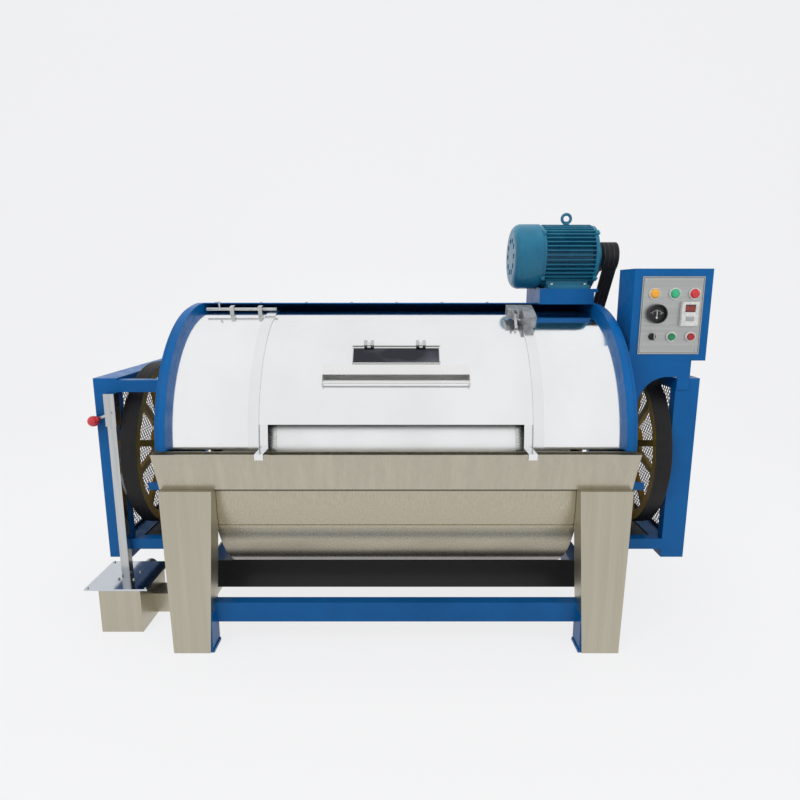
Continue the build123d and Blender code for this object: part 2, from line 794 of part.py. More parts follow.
with BuildPart() as interlock_lever:
    lever_low_x = lever_x - lock_lever_width / 2
    lever_high_x = lever_x + lock_lever_width / 2
    lever_end = polar(hood_radius + slide_gap + lock_roller_radius,
                      lock_pin_angle - degrees(lock_lever_length / lock_top_radius), hood_z)
    rod_x(lever_low_x, lever_high_x, *lock_pin, 2 * lock_pin_radius)
    rod_x(lever_low_x, lever_high_x, *lever_end, lock_roller_radius)
    with BuildSketch(Plane.YZ.offset(lever_low_x)):
        for place in (lock_pin, lever_end):
            with Locations(place):
                Circle(lock_lever_thickness / 2)
        make_hull()
    extrude(amount=lock_lever_width)
    rod_x(lever_low_x, lever_high_x, *lock_pin, lock_pin_radius + running_gap, mode=Mode.SUBTRACT)
write(interlock_lever, "interlock_lever")

# Inner drum with its doorway, end plates, ribs and shafts
drum_inner_radius = drum_radius - drum_sheet
door_inner_radius = drum_radius + slide_gap
low_angle = doorway_low_angle - drum_door_margin_angle
high_angle = doorway_high_angle + drum_door_margin_angle
rail_high_angle = high_angle + drum_door_travel + drum_door_margin_angle
rail_x = drum_door_half_length + slide_gap
rail_lip_radius = door_inner_radius + drum_door_sheet + slide_gap
with BuildPart() as drum_shell:
    rod_x(-drum_half_length, drum_half_length, 0, drum_z, drum_radius)
    rod_x(-drum_half_length, drum_half_length, 0, drum_z, drum_inner_radius, mode=Mode.SUBTRACT)
    band(drum_inner_radius - overrun, drum_radius + overrun, doorway_low_angle, doorway_high_angle, drum_z,
         -doorway_half_length, doorway_half_length, mode=Mode.SUBTRACT)
    hole_arc = 360 - (doorway_high_angle - doorway_low_angle)
    for row in range(drum_hole_rows):
        row_angle = doorway_high_angle + hole_arc * (row + 1) / (drum_hole_rows + 1)
        row_y, row_z = polar(drum_radius, row_angle, 0)
        hole_plane = Plane(origin=(0, row_y, drum_z + row_z), x_dir=(1, 0, 0), z_dir=(0, -row_y, -row_z))
        with BuildSketch(hole_plane):
            hole_step = 2 * (drum_half_length - drum_hole_margin) / (drum_hole_columns - 1)
            with GridLocations(hole_step, 1, drum_hole_columns, 1):
                Circle(drum_hole_radius)
        extrude(amount=overrun, both=True, mode=Mode.SUBTRACT)
    for side in (-1, 1):
        band(drum_radius, rail_lip_radius + drum_door_rail_lip, low_angle, rail_high_angle, drum_z,
             side * rail_x, side * (rail_x + drum_door_rail_width))
        band(rail_lip_radius, rail_lip_radius + drum_door_rail_lip, low_angle, rail_high_angle, drum_z,
             side * (rail_x - drum_door_rail_width), side * (rail_x + drum_door_rail_width))
write(drum_shell, "drum_shell")

with BuildPart() as drum_ends:
    for side in (-1, 1):
        rod_x(side * drum_half_length, side * (drum_half_length + drum_end_sheet), 0, drum_z, drum_radius)
write(drum_ends, "drum_ends")

with BuildPart() as drum_ribs:
    for number in range(rib_count):
        rib_angle = doorway_high_angle + hole_arc * (number + 1 / 2) / rib_count
        foot_half_angle = degrees(rib_width / 2 / drum_inner_radius)
        for sheet, mode in ((0, Mode.ADD), (rib_sheet, Mode.SUBTRACT)):
            foot_angle = foot_half_angle - degrees(sheet / drum_inner_radius)
            foot_radius = drum_inner_radius + sheet
            crest_radius = drum_inner_radius - rib_height + sheet
            rib_points = [
                polar(foot_radius, rib_angle - foot_angle, drum_z),
                polar(crest_radius, rib_angle - foot_angle / 2, drum_z),
                polar(crest_radius, rib_angle + foot_angle / 2, drum_z),
                polar(foot_radius, rib_angle + foot_angle, drum_z),
            ]
            polygon_plate(Plane.YZ.offset(-drum_half_length), rib_points, 2 * drum_half_length, mode)
write(drum_ribs, "drum_ribs")

with BuildPart() as drum_shafts:
    for side in (-1, 1):
        flange_x = drum_half_length + drum_end_sheet
        rod_x(side * flange_x, side * shaft_end_x, 0, drum_z, shaft_radius)
        rod_x(side * flange_x, side * (flange_x + shaft_flange_thickness / 2), 0, drum_z,
              shaft_flange_radius)
write(drum_shafts, "drum_shafts")

with BuildPart() as drum_door:
    band(door_inner_radius, door_inner_radius + drum_door_sheet, low_angle, high_angle, drum_z,
         -drum_door_half_length, drum_door_half_length)
    pull_angle = degrees(drum_door_sheet / drum_radius)
    band(door_inner_radius, door_inner_radius + drum_door_pull_height, high_angle - pull_angle,
         high_angle, drum_z, -drum_door_half_length / 2, drum_door_half_length / 2)
write(drum_door, "drum_door")

# Bearings, housings and seals
with BuildPart() as bearing_housings:
    for side in (-1, 1):
        rod_x(side * housing_inner_x, side * housing_outer_x, 0, drum_z, housing_radius)
        block(side * housing_inner_x, side * housing_outer_x, -housing_foot_half, housing_foot_half,
              drum_z - housing_radius, drum_z - bearing_outer_radius + overrun)
        rod_x(side * housing_inner_x, side * housing_outer_x, 0, drum_z, bearing_outer_radius,
              mode=Mode.SUBTRACT)
write(bearing_housings, "bearing_housings")

with BuildPart() as drum_bearings:
    for side in (-1, 1):
        rod_x(side * housing_inner_x, side * housing_outer_x, 0, drum_z, bearing_outer_radius)
        rod_x(side * housing_inner_x, side * housing_outer_x, 0, drum_z, shaft_radius + running_gap,
              mode=Mode.SUBTRACT)
    seal_x = tub_half_length + tub_end_sheet
    for side in (-1, 1):
        rod_x(side * seal_x, side * (seal_x + seal_thickness), 0, drum_z, seal_radius)
        rod_x(side * seal_x, side * (seal_x + seal_thickness), 0, drum_z, shaft_radius + running_gap,
              mode=Mode.SUBTRACT)
write(drum_bearings, "drum_bearings")


def belt_grooves(x_a, x_b, y, z, radius):
    """Cut the belt grooves into a rim that is being built."""
    middle_x = (x_a + x_b) / 2
    for number in range(belt_count):
        groove_x = middle_x + (number - (belt_count - 1) / 2) * belt_pitch
        with BuildSketch(Plane.YZ.offset(groove_x - groove_width / 2)) as profile:
            with Locations((y, z)):
                Circle(radius + overrun)
                Circle(radius - groove_depth, mode=Mode.SUBTRACT)
        extrude(profile.sketch, amount=groove_width, mode=Mode.SUBTRACT)


def belts(x_a, x_b, first, first_radius, second, second_radius):
    """Add the belts that run round two pulleys to the part being built."""
    middle_x = (x_a + x_b) / 2
    for number in range(belt_count):
        belt_x = middle_x + (number - (belt_count - 1) / 2) * belt_pitch - belt_width / 2
        for lift, mode in ((belt_thickness, Mode.ADD), (0, Mode.SUBTRACT)):
            with BuildSketch(Plane.YZ.offset(belt_x)) as profile:
                for centre, radius in ((first, first_radius), (second, second_radius)):
                    with Locations(centre):
                        Circle(radius - groove_depth + slide_gap + lift)
                make_hull()
            extrude(profile.sketch, amount=belt_width, mode=mode)


# Large belt wheels at both ends of the drum, with spokes in pairs
with BuildPart() as belt_wheel:
    wheel_middle = (wheel_inner_x + wheel_outer_x) / 2
    rod_x(wheel_inner_x, wheel_outer_x, 0, drum_z, wheel_radius)
    rod_x(wheel_inner_x, wheel_outer_x, 0, drum_z, wheel_radius - wheel_rim_depth, mode=Mode.SUBTRACT)
    rod_x(wheel_inner_x, wheel_outer_x, 0, drum_z, wheel_hub_radius)
    for pair in range(wheel_spoke_pairs):
        for lean in (-1, 1):
            hub_angle = pair * 360 / wheel_spoke_pairs
            rim_angle = hub_angle + lean * wheel_spoke_splay_angle
            start = polar(shaft_radius, hub_angle, drum_z)
            end = polar(wheel_radius - wheel_rim_depth / 2, rim_angle, drum_z)
            run = (end[0] - start[0], end[1] - start[1])
            run_length = sqrt(run[0] ** 2 + run[1] ** 2)
            middle = ((start[0] + end[0]) / 2, (start[1] + end[1]) / 2)
            with BuildSketch(Plane.YZ.offset(wheel_middle - wheel_spoke_thickness / 2)):
                with Locations(Location((*middle, 0), (0, 0, degrees(atan2(run[1], run[0]))))):
                    Rectangle(run_length, wheel_spoke_width)
            extrude(amount=wheel_spoke_thickness)
    belt_grooves(wheel_inner_x, wheel_outer_x, 0, drum_z, wheel_radius)
    rod_x(wheel_inner_x, wheel_outer_x, 0, drum_z, shaft_radius, mode=Mode.SUBTRACT)
write_both(belt_wheel, "belt_wheels")

counter_place = (counter_y, counter_z)
with BuildPart() as wheel_belts:
    belts(wheel_inner_x, wheel_outer_x, (0, drum_z), wheel_radius, counter_place, small_sheave_radius)
write_both(wheel_belts, "wheel_belts")

# Countershaft, its sheaves and bearings
with BuildPart() as countershaft:
    rod_x(-counter_half_length, counter_half_length, *counter_place, counter_radius)
write(countershaft, "countershaft")

with BuildPart() as sheaves:
    for side in (-1, 1):
        rod_x(side * wheel_inner_x, side * wheel_outer_x, *counter_place, small_sheave_radius)
        belt_grooves(side * wheel_inner_x, side * wheel_outer_x, *counter_place, small_sheave_radius)
        rod_x(side * wheel_inner_x, side * wheel_outer_x, *counter_place, counter_radius,
              mode=Mode.SUBTRACT)
    rod_x(big_sheave_inner_x, big_sheave_outer_x, *counter_place, big_sheave_radius)
    for face_x, web_x in (
        (big_sheave_inner_x, (big_sheave_inner_x + big_sheave_outer_x - sheave_web_thickness) / 2),
        (big_sheave_outer_x, (big_sheave_inner_x + big_sheave_outer_x + sheave_web_thickness) / 2),
    ):
        with BuildSketch(Plane.YZ.offset(min(face_x, web_x))):
            with Locations(counter_place):
                Circle(big_sheave_radius - wheel_rim_depth)
                Circle(sheave_hub_radius, mode=Mode.SUBTRACT)
        extrude(amount=abs(face_x - web_x), mode=Mode.SUBTRACT)
    belt_grooves(big_sheave_inner_x, big_sheave_outer_x, *counter_place, big_sheave_radius)
    rod_x(big_sheave_inner_x, big_sheave_outer_x, *counter_place, counter_radius, mode=Mode.SUBTRACT)
write(sheaves, "sheaves")

motor_place = (motor_y, motor_z)
with BuildPart() as motor_belts:
    belts(big_sheave_inner_x, big_sheave_outer_x, motor_place, motor_pulley_radius, counter_place,
          big_sheave_radius)
write(motor_belts, "motor_belts")

with BuildPart() as counter_bearings:
    for side in (-1, 1):
        low_x = side * (stand_x - stand_width / 2)
        high_x = side * (stand_x + stand_width / 2)
        rod_x(low_x, high_x, *counter_place, pillow_radius)
        block(low_x, high_x, counter_y - pillow_radius, counter_y + pillow_radius,
              counter_z - pillow_radius, counter_z - counter_radius)
        rod_x(low_x, high_x, *counter_place, counter_radius + running_gap, mode=Mode.SUBTRACT)
write(counter_bearings, "counter_bearings")

# Motor: finned housing with shields and feet, fan cover, rotor, pulley, eye and base
with BuildPart() as motor_housing:
    rod_x(motor_inner_x, motor_outer_x, motor_y, motor_z, motor_body_radius)
    for number in range(motor_fin_count):
        fin_angle = number * 360 / motor_fin_count
        with BuildSketch(Plane.YZ.offset(motor_inner_x)):
            with Locations(Location((motor_y, motor_z, 0), (0, 0, fin_angle))):
                Rectangle(motor_fin_radius, motor_fin_thickness, align=(Align.MIN, Align.CENTER))
        extrude(amount=motor_outer_x - motor_inner_x)
    for side in (-1, 1):
        web_y = motor_y + side * motor_foot_web_offset
        block(motor_foot_inner_x, motor_foot_outer_x, web_y - motor_foot_web / 2,
              web_y + motor_foot_web / 2, motor_foot_z, motor_z - motor_bore_radius)
    block(motor_foot_inner_x, motor_foot_outer_x, motor_y - motor_foot_half_y, motor_y + motor_foot_half_y,
          motor_foot_z, motor_foot_z + motor_foot_thickness)
    for low_x, high_x in ((motor_inner_x - shield_thickness, motor_inner_x),
                          (motor_outer_x, motor_outer_x + shield_thickness)):
        rod_x(low_x, high_x, motor_y, motor_z, shield_radius)
        for lug_angle in shield_lug_angles:
            lug_place = polar(shield_radius, lug_angle, motor_z)
            rod_x(low_x, high_x, motor_y + lug_place[0], lug_place[1], shield_lug_radius)
    rod_x(motor_outer_x, shield_end_x, motor_y, motor_z, shield_boss_radius)
    rod_x(motor_inner_x, motor_outer_x, motor_y, motor_z, motor_bore_radius, mode=Mode.SUBTRACT)
    rod_x(fan_cover_start_x, shield_end_x, motor_y, motor_z, motor_shaft_radius + running_gap,
          mode=Mode.SUBTRACT)
    block(eye_x - terminal_box_half, eye_x + terminal_box_half, terminal_box_front_y,
          terminal_box_front_y + terminal_box_depth, motor_z - terminal_box_half,
          motor_z + terminal_box_half)
write(motor_housing, "motor_housing")

with BuildPart() as fan_cover:
    rod_x(fan_cover_start_x, motor_inner_x - shield_thickness - seat_gap, motor_y, motor_z,
          fan_cover_radius)
    fillet(fan_cover.edges().filter_by(GeomType.CIRCLE).sort_by(Axis.X)[0], fan_cover_round)
    back_face = fan_cover.faces().sort_by(Axis.X)[-1]
    offset(amount=-fan_cover_sheet, openings=back_face)
    for number in range(fan_slot_count):
        slot_angle = number * 360 / fan_slot_count
        slot_place = polar(motor_body_radius / 2 + shield_lug_radius, slot_angle, motor_z)
        rod_x(fan_cover_start_x - overrun, fan_cover_start_x + overrun, motor_y + slot_place[0],
              slot_place[1], shield_lug_radius, mode=Mode.SUBTRACT)
write(fan_cover, "fan_cover")

with BuildPart() as motor_rotor:
    rod_x(fan_x, big_sheave_outer_x, motor_y, motor_z, motor_shaft_radius)
    rod_x(motor_inner_x + rotor_margin, motor_outer_x - rotor_margin, motor_y, motor_z, rotor_radius)
    rod_x(fan_x, fan_x + fan_thickness, motor_y, motor_z, fan_radius)
write(motor_rotor, "motor_rotor")

with BuildPart() as motor_pulley:
    rod_x(big_sheave_inner_x, big_sheave_outer_x, *motor_place, motor_pulley_radius)
    belt_grooves(big_sheave_inner_x, big_sheave_outer_x, *motor_place, motor_pulley_radius)
    rod_x(big_sheave_inner_x, big_sheave_outer_x, *motor_place, motor_shaft_radius, mode=Mode.SUBTRACT)
write(motor_pulley, "motor_pulley")

with BuildPart() as lifting_eye:
    eye_base_z = motor_z + motor_fin_radius
    eye_z = eye_base_z + eye_ring_radius + eye_wire_radius
    with Locations(Location((eye_x, motor_y, eye_z), (90, 0, 0))):
        Torus(eye_ring_radius, eye_wire_radius)
    rod_z(eye_x, motor_y, eye_base_z + seat_gap, eye_base_z + 2 * eye_wire_radius, eye_wire_radius * 2)
write(lifting_eye, "lifting_eye")

with BuildPart() as motor_base:
    block(base_inner_x, base_outer_x, -base_front_y, base_back_y, motor_foot_z - base_plate, motor_foot_z)
    for web_y in (-base_front_y, base_back_y - base_web):
        block(base_inner_x, arch_inner_x, web_y, web_y + base_web, hood_z, motor_foot_z)
    for web_x in (base_inner_x, arch_inner_x - base_web):
        block(web_x, web_x + base_web, -base_front_y, base_back_y, hood_z + hood_radius, motor_foot_z)
    band(0, cover_radius + seat_gap, 0, 180, hood_z, base_inner_x, base_outer_x, mode=Mode.SUBTRACT)
write(motor_base, "motor_base")

# Control box on its support plate, with what is on its panel
panel_front_y = box_front_y + panel_thickness
button_places = (start_x, stop_x)
with BuildPart() as control_box:
    block(box_left_x, box_right_x, -box_front_y, -box_back_y, box_low_z, box_high_z)
    block(box_left_x + box_sheet, box_right_x - box_sheet, -box_front_y + box_sheet,
          -box_back_y - box_sheet, box_low_z + box_sheet, box_high_z - box_sheet, mode=Mode.SUBTRACT)
    for button_x in button_places:
        rod_y(button_x, -box_front_y - overrun, -box_front_y + overrun, button_z,
              button_radius + slide_gap, mode=Mode.SUBTRACT)
write(control_box, "control_box")

with BuildPart() as panel_plate:
    block(panel_left_x, panel_right_x, -panel_front_y, -box_front_y, panel_low_z, panel_high_z)
    for button_x in button_places:
        rod_y(button_x, -box_front_y - overrun, -box_front_y + overrun, button_z,
              button_radius + slide_gap, mode=Mode.SUBTRACT)
write(panel_plate, "panel_plate")

with BuildPart() as support_plate:
    block(support_left_x, support_opening_x + support_opening_round, -box_front_y,
          -box_front_y + support_sheet, support_foot_z, box_low_z)
    block(support_opening_x, support_right_x, -box_front_y, -box_front_y + support_sheet,
          support_opening_high_z, box_low_z)
    block(support_opening_x, support_opening_x + support_opening_round + overrun, -box_front_y,
          -box_front_y + support_sheet, support_foot_z, support_opening_high_z - support_opening_round,
          mode=Mode.SUBTRACT)
    rod_y(support_opening_x + support_opening_round, -box_front_y, -box_front_y + support_sheet,
          support_opening_high_z - support_opening_round, support_opening_round, mode=Mode.SUBTRACT)
    block(post_inner_x, support_right_x, -box_front_y, -box_front_y + support_sheet,
          guard_top_z - guard_rail, support_opening_high_z)
write(support_plate, "support_plate")

with BuildPart() as lamps:
    for lamp_x in lamp_places:
        rod_y(lamp_x, -panel_front_y - lamp_height, -panel_front_y, lamp_z, lamp_radius)
    lamp_rims = lamps.edges().filter_by(GeomType.CIRCLE).group_by(Axis.Y)[0]
    fillet(lamp_rims, lamp_height / 2)
write(lamps, "lamps")

with BuildPart() as panel_bezels:
    for lamp_x in lamp_places:
        rod_y(lamp_x, -panel_front_y - button_bezel_height, -panel_front_y, lamp_z, lamp_bezel_radius)
        rod_y(lamp_x, -panel_front_y - button_bezel_height, -panel_front_y, lamp_z,
              lamp_radius + seat_gap, mode=Mode.SUBTRACT)
    for button_x in button_places:
        rod_y(button_x, -panel_front_y - button_bezel_height, -panel_front_y, button_z,
              button_bezel_radius)
        rod_y(button_x, -panel_front_y - button_bezel_height, -panel_front_y, button_z,
              button_radius + seat_gap, mode=Mode.SUBTRACT)
write(panel_bezels, "panel_bezels")

for button_x, button_name in ((start_x, "start_button"), (stop_x, "stop_button")):
    with BuildPart() as button:
        rod_y(button_x, -panel_front_y - button_height, -box_front_y + box_sheet, button_z, button_radius)
        fillet(button.edges().filter_by(GeomType.CIRCLE).sort_by(Axis.Y)[0], button_travel / 2)
    write(button, button_name)

with BuildPart() as selector:
    rod_y(selector_x, -panel_front_y - selector_height / 2, -panel_front_y - seat_gap, selector_z,
          selector_radius)
    block(selector_x - selector_grip_width / 2, selector_x + selector_grip_width / 2,
          -panel_front_y - selector_height, -panel_front_y - selector_height / 2,
          selector_z - selector_radius, selector_z + selector_radius)
write(selector, "selector")

with BuildPart() as meter:
    rod_y(meter_x, -panel_front_y - meter_depth, -panel_front_y, meter_z, meter_radius)
    rod_y(meter_x, -panel_front_y - meter_depth, -panel_front_y - meter_depth + meter_recess_depth,
          meter_z, meter_radius - meter_rim, mode=Mode.SUBTRACT)
write(meter, "meter")

meter_floor_y = -panel_front_y - meter_depth + meter_recess_depth
with BuildPart() as meter_needle:
    pivot_z = meter_z - meter_pivot_drop
    needle_back_y = meter_floor_y - seat_gap
    rod_y(meter_x, needle_back_y - 2 * meter_needle_thickness, needle_back_y, pivot_z,
          meter_pivot_radius)
    block(meter_x - meter_needle_width / 2, meter_x + meter_needle_width / 2,
          needle_back_y - 2 * meter_needle_thickness, needle_back_y - meter_needle_thickness,
          pivot_z, pivot_z + meter_needle_length)
write(meter_needle, "meter_needle")

timer_front_y = -panel_front_y - timer_depth
timer_window_z = timer_z + timer_window_rise
timer_key_z = timer_z - timer_key_drop
with BuildPart() as timer_body:
    block(timer_x - timer_width / 2, timer_x + timer_width / 2, timer_front_y, -panel_front_y,
          timer_z - timer_height / 2, timer_z + timer_height / 2)
    block(timer_x - timer_window_width / 2, timer_x + timer_window_width / 2, timer_front_y,
          timer_front_y + timer_recess_depth, timer_window_z - timer_window_height / 2,
          timer_window_z + timer_window_height / 2, mode=Mode.SUBTRACT)
    block(timer_x - timer_key_width - running_gap, timer_x + timer_key_width + running_gap, timer_front_y,
          timer_front_y + timer_key_depth + timer_key_travel,
          timer_key_z - timer_key_height / 2 - running_gap,
          timer_key_z + timer_key_height / 2 + running_gap, mode=Mode.SUBTRACT)
write(timer_body, "timer_body")

with BuildPart() as timer_key:
    block(timer_x - timer_key_width, timer_x + timer_key_width, timer_front_y - timer_key_travel,
          timer_front_y + timer_key_depth - seat_gap, timer_key_z - timer_key_height / 2,
          timer_key_z + timer_key_height / 2)
write(timer_key, "timer_key")

# Guard frames with their trays and nets
frame_end_y = guard_back_y - post_depth
front_rear_y = leg_front_y + slide_gap
with BuildPart() as guard_frames:
    for side in (-1, 1):
        inner_x = side * post_inner_x
        outer_x = side * post_outer_x
        block(inner_x, outer_x, -post_front_y, post_depth - post_front_y, guard_low_z, guard_top_z)
        block(inner_x, outer_x, frame_end_y, guard_back_y, guard_low_z, guard_top_z)
        block(inner_x, outer_x, -post_front_y, guard_back_y, guard_top_z - guard_rail, guard_top_z)
        block(inner_x, outer_x, -post_front_y, guard_back_y, guard_low_z, guard_low_z + guard_rail)
        block(side * (leg_outer_x + seat_gap), inner_x, -post_front_y, post_depth - post_front_y,
              lower_cross_low_z, lower_cross_high_z)
        block(side * (stand_x + stand_width / 2 + seat_gap), inner_x, front_rear_y,
              front_rear_y + post_depth, lower_cross_low_z, lower_cross_high_z)
    block(-post_inner_x, -(end_panel_x + end_panel_sheet + seat_gap), -post_front_y,
          post_depth - post_front_y, upper_cross_low_z, upper_cross_high_z)
    block(end_panel_x + end_panel_sheet + seat_gap, support_opening_x, -post_front_y,
          post_depth - post_front_y, upper_cross_low_z, upper_cross_high_z)
write(guard_frames, "guard_frames")

with BuildPart() as guard_trays:
    for side in (-1, 1):
        block(side * machine_side_x, side * (post_inner_x - seat_gap), post_depth - post_front_y,
              front_rear_y, lower_cross_low_z, lower_cross_low_z + tray_sheet)
write(guard_trays, "guard_trays")

net_low_y = post_depth - post_front_y
net_low_z = guard_low_z + guard_rail
net_length = frame_end_y - net_low_y
net_height = guard_top_z - guard_rail - net_low_z
with BuildPart() as guard_nets:
    for side in (-1, 1):
        with BuildSketch(Plane.YZ.offset(side * mesh_x)):
            with Locations((net_low_y + net_length / 2, net_low_z + net_height / 2)):
                Rectangle(net_length, net_height)
                column_step = net_length / mesh_columns
                row_step = net_height / mesh_rows
                half_width = column_step / 2 - mesh_wire
                half_height = row_step / 2 - mesh_wire
                for columns, rows in ((mesh_columns, mesh_rows), (mesh_columns - 1, mesh_rows - 1)):
                    with GridLocations(column_step, row_step, columns, rows):
                        Polygon((half_width, 0), (0, half_height), (-half_width, 0), (0, -half_height),
                                mode=Mode.SUBTRACT)
        extrude(amount=mesh_thickness)
write(guard_nets, "guard_nets")

# Drain box with its shelf and outlet, cover plate, duct, lever post, lever and plug rod
rod_place_x = -post_x - drain_rod_offset
with BuildPart() as drain_box:
    block(-drain_left_x, -drain_right_x, -drain_front_y, -drain_back_y, 0, drain_high_z)
    block(drain_sheet - drain_left_x, -drain_right_x - drain_sheet, drain_sheet - drain_front_y,
          -drain_back_y - drain_sheet, drain_sheet, drain_high_z, mode=Mode.SUBTRACT)
    block(drain_sheet - drain_left_x, -drain_right_x - drain_sheet, drain_sheet - drain_front_y,
          -drain_back_y - drain_sheet, shelf_z, shelf_z + drain_sheet)
    rod_z(rod_place_x, -lever_post_y, shelf_z, shelf_z + drain_sheet, shelf_hole_radius,
          mode=Mode.SUBTRACT)
    block(-drain_right_x - drain_sheet, -drain_right_x, drain_sheet - duct_front_y,
          -duct_back_y - drain_sheet, duct_low_z + drain_sheet, duct_high_z - drain_sheet,
          mode=Mode.SUBTRACT)
    rod_y(-(drain_left_x + drain_right_x) / 2, -drain_back_y, -drain_back_y + outlet_length, outlet_z,
          outlet_radius)
    rod_y(-(drain_left_x + drain_right_x) / 2, -drain_back_y - drain_sheet,
          -drain_back_y + outlet_length, outlet_z, outlet_radius - drain_sheet, mode=Mode.SUBTRACT)
write(drain_box, "drain_box")

with BuildPart() as drain_plate:
    plate_top_z = drain_high_z + drain_plate_thickness
    block(-drain_plate_left_x, -drain_plate_right_x, -drain_plate_front_y, -drain_plate_back_y,
          drain_high_z, plate_top_z)
    rod_z(rod_place_x, -lever_post_y, drain_high_z, plate_top_z, drain_rod_radius + seat_gap,
          mode=Mode.SUBTRACT)
    for side_x in (-drain_plate_left_x + screw_margin, -drain_plate_right_x - screw_margin):
        for side_y in (-drain_plate_front_y + screw_margin, -drain_plate_back_y - screw_margin):
            rod_z(side_x, side_y, plate_top_z, plate_top_z + screw_height, screw_radius)
write(drain_plate, "drain_plate")

with BuildPart() as drain_duct:
    for inset, mode in ((0, Mode.ADD), (drain_sheet, Mode.SUBTRACT)):
        for low_x, high_x, low_y, high_y in (
                (-drain_right_x - inset, -duct_run_inner_x, -duct_front_y, -duct_back_y),
                (-duct_run_outer_x, -duct_run_inner_x, -duct_front_y, riser_back_y),
                (-duct_run_outer_x, -riser_inner_x, riser_front_y, riser_back_y)):
            block(low_x + inset, high_x - inset, low_y + inset, high_y - inset,
                  duct_low_z + inset, duct_high_z - inset, mode=mode)
        block(inset - riser_outer_x, -riser_inner_x - inset, riser_front_y + inset, riser_back_y - inset,
              duct_high_z - drain_sheet - inset, drum_z - tub_radius + 2 * overrun + inset, mode=mode)
    rod_x(-riser_outer_x, -riser_inner_x, 0, drum_z, tub_radius + seat_gap, mode=Mode.SUBTRACT)
write(drain_duct, "drain_duct")

with BuildPart() as lever_post:
    for half, mode in ((lever_post_half, Mode.ADD), (lever_post_half - lever_post_wall, Mode.SUBTRACT)):
        if mode == Mode.ADD:
            block(-post_x - half, -post_x + half, -lever_post_y - half, -lever_post_y + half,
                  plate_top_z, lever_head_low_z)
            block(-post_x - lever_head_half, -post_x + lever_head_half, -lever_post_y - lever_head_half,
                  -lever_post_y + lever_head_half, lever_head_low_z, lever_head_top_z)
        else:
            block(-post_x - half, -post_x + half, -lever_post_y - half, -lever_post_y + half,
                  plate_top_z, lever_head_top_z - lever_post_wall, mode=mode)
    block(-post_x - lever_head_half, -post_x, -lever_post_y - lever_radius - slide_gap,
          -lever_post_y + lever_radius + slide_gap, lever_slot_low_z, lever_slot_high_z,
          mode=Mode.SUBTRACT)
    rod_y(lever_pivot_offset - post_x, -lever_post_y - lever_head_half, -lever_post_y + lever_head_half,
          lever_pivot_z, lever_pin_radius + running_gap, mode=Mode.SUBTRACT)
write(lever_post, "lever_post")

with BuildPart() as lever:
    pivot_x = lever_pivot_offset - post_x
    bar_plane = Plane(origin=(pivot_x, -lever_post_y, lever_pivot_z),
                      x_dir=(-cos(radians(lever_drop_angle)), 0, -sin(radians(lever_drop_angle))),
                      z_dir=(0, 1, 0))
    with BuildSketch(bar_plane):
        with Locations((lever_length, 0)):
            Circle(ball_radius)
        Rectangle(lever_length, 2 * lever_radius, align=(Align.MIN, Align.CENTER))
        with Locations((lever_length / 2, 0)):
            Rectangle(2 * lever_length, 2 * ball_radius, align=(Align.CENTER, Align.MAX), mode=Mode.SUBTRACT)
    revolve(axis=Axis(bar_plane.origin, bar_plane.x_dir))
    rod_y(pivot_x, -lever_post_y - lever_head_half, -lever_post_y + lever_head_half, lever_pivot_z,
          lever_pin_radius)
write(lever, "lever")

with BuildPart() as drain_rod:
    rod_z(rod_place_x, -lever_post_y, shelf_z + drain_sheet + seat_gap, yoke_low_z, drain_rod_radius)
    rod_z(rod_place_x, -lever_post_y, shelf_z + drain_sheet + seat_gap,
          shelf_z + drain_sheet + plug_height, plug_radius)
    block(rod_place_x - yoke_half_x, rod_place_x + yoke_half_x, -lever_post_y - yoke_half_y,
          -lever_post_y + yoke_half_y, yoke_low_z, yoke_high_z)
    window_z = lever_pivot_z - (lever_pivot_offset + drain_rod_offset) * tan(radians(lever_drop_angle))
    block(rod_place_x - yoke_half_x, rod_place_x + yoke_half_x, -lever_post_y - yoke_window_half_y,
          -lever_post_y + yoke_window_half_y, window_z - yoke_window_half_z,
          window_z + yoke_window_half_z, mode=Mode.SUBTRACT)
write(drain_rod, "drain_rod")

# Water and steam inlets on the rear of the tub
with BuildPart() as inlet_pipes:
    for pipe_x, pipe_radius in ((water_x, water_radius), (steam_x, steam_radius)):
        rod_y(pipe_x, tub_radius / 2, tub_radius + pipe_length, pipe_z, pipe_radius)
        rod_y(pipe_x, pipe_collar_y, pipe_collar_y + pipe_collar_length, pipe_z, pipe_radius + pipe_wall)
        rod_y(pipe_x, tub_radius / 2, tub_radius + pipe_length, pipe_z, pipe_radius - pipe_wall,
              mode=Mode.SUBTRACT)
    rod_x(steam_x - 2 * water_radius, water_x + 2 * water_radius, 0, drum_z, tub_radius + seat_gap,
          mode=Mode.SUBTRACT)
write(inlet_pipes, "inlet_pipes")
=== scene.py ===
import math

import bmesh
import bpy
from mathutils import Matrix, Vector


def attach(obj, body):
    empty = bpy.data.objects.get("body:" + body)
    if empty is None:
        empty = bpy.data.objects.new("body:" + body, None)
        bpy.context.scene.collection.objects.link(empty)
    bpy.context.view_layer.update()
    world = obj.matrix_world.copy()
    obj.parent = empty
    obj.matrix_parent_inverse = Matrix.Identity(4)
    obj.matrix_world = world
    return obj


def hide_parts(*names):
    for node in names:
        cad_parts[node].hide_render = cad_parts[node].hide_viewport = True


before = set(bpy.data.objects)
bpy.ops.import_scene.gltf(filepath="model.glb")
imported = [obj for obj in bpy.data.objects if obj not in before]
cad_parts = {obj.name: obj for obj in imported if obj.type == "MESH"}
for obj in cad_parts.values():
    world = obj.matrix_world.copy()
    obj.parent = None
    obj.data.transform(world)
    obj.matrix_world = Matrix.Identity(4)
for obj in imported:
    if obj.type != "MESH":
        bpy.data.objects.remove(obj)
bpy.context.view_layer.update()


# Places on the machine that the materials follow, in metres

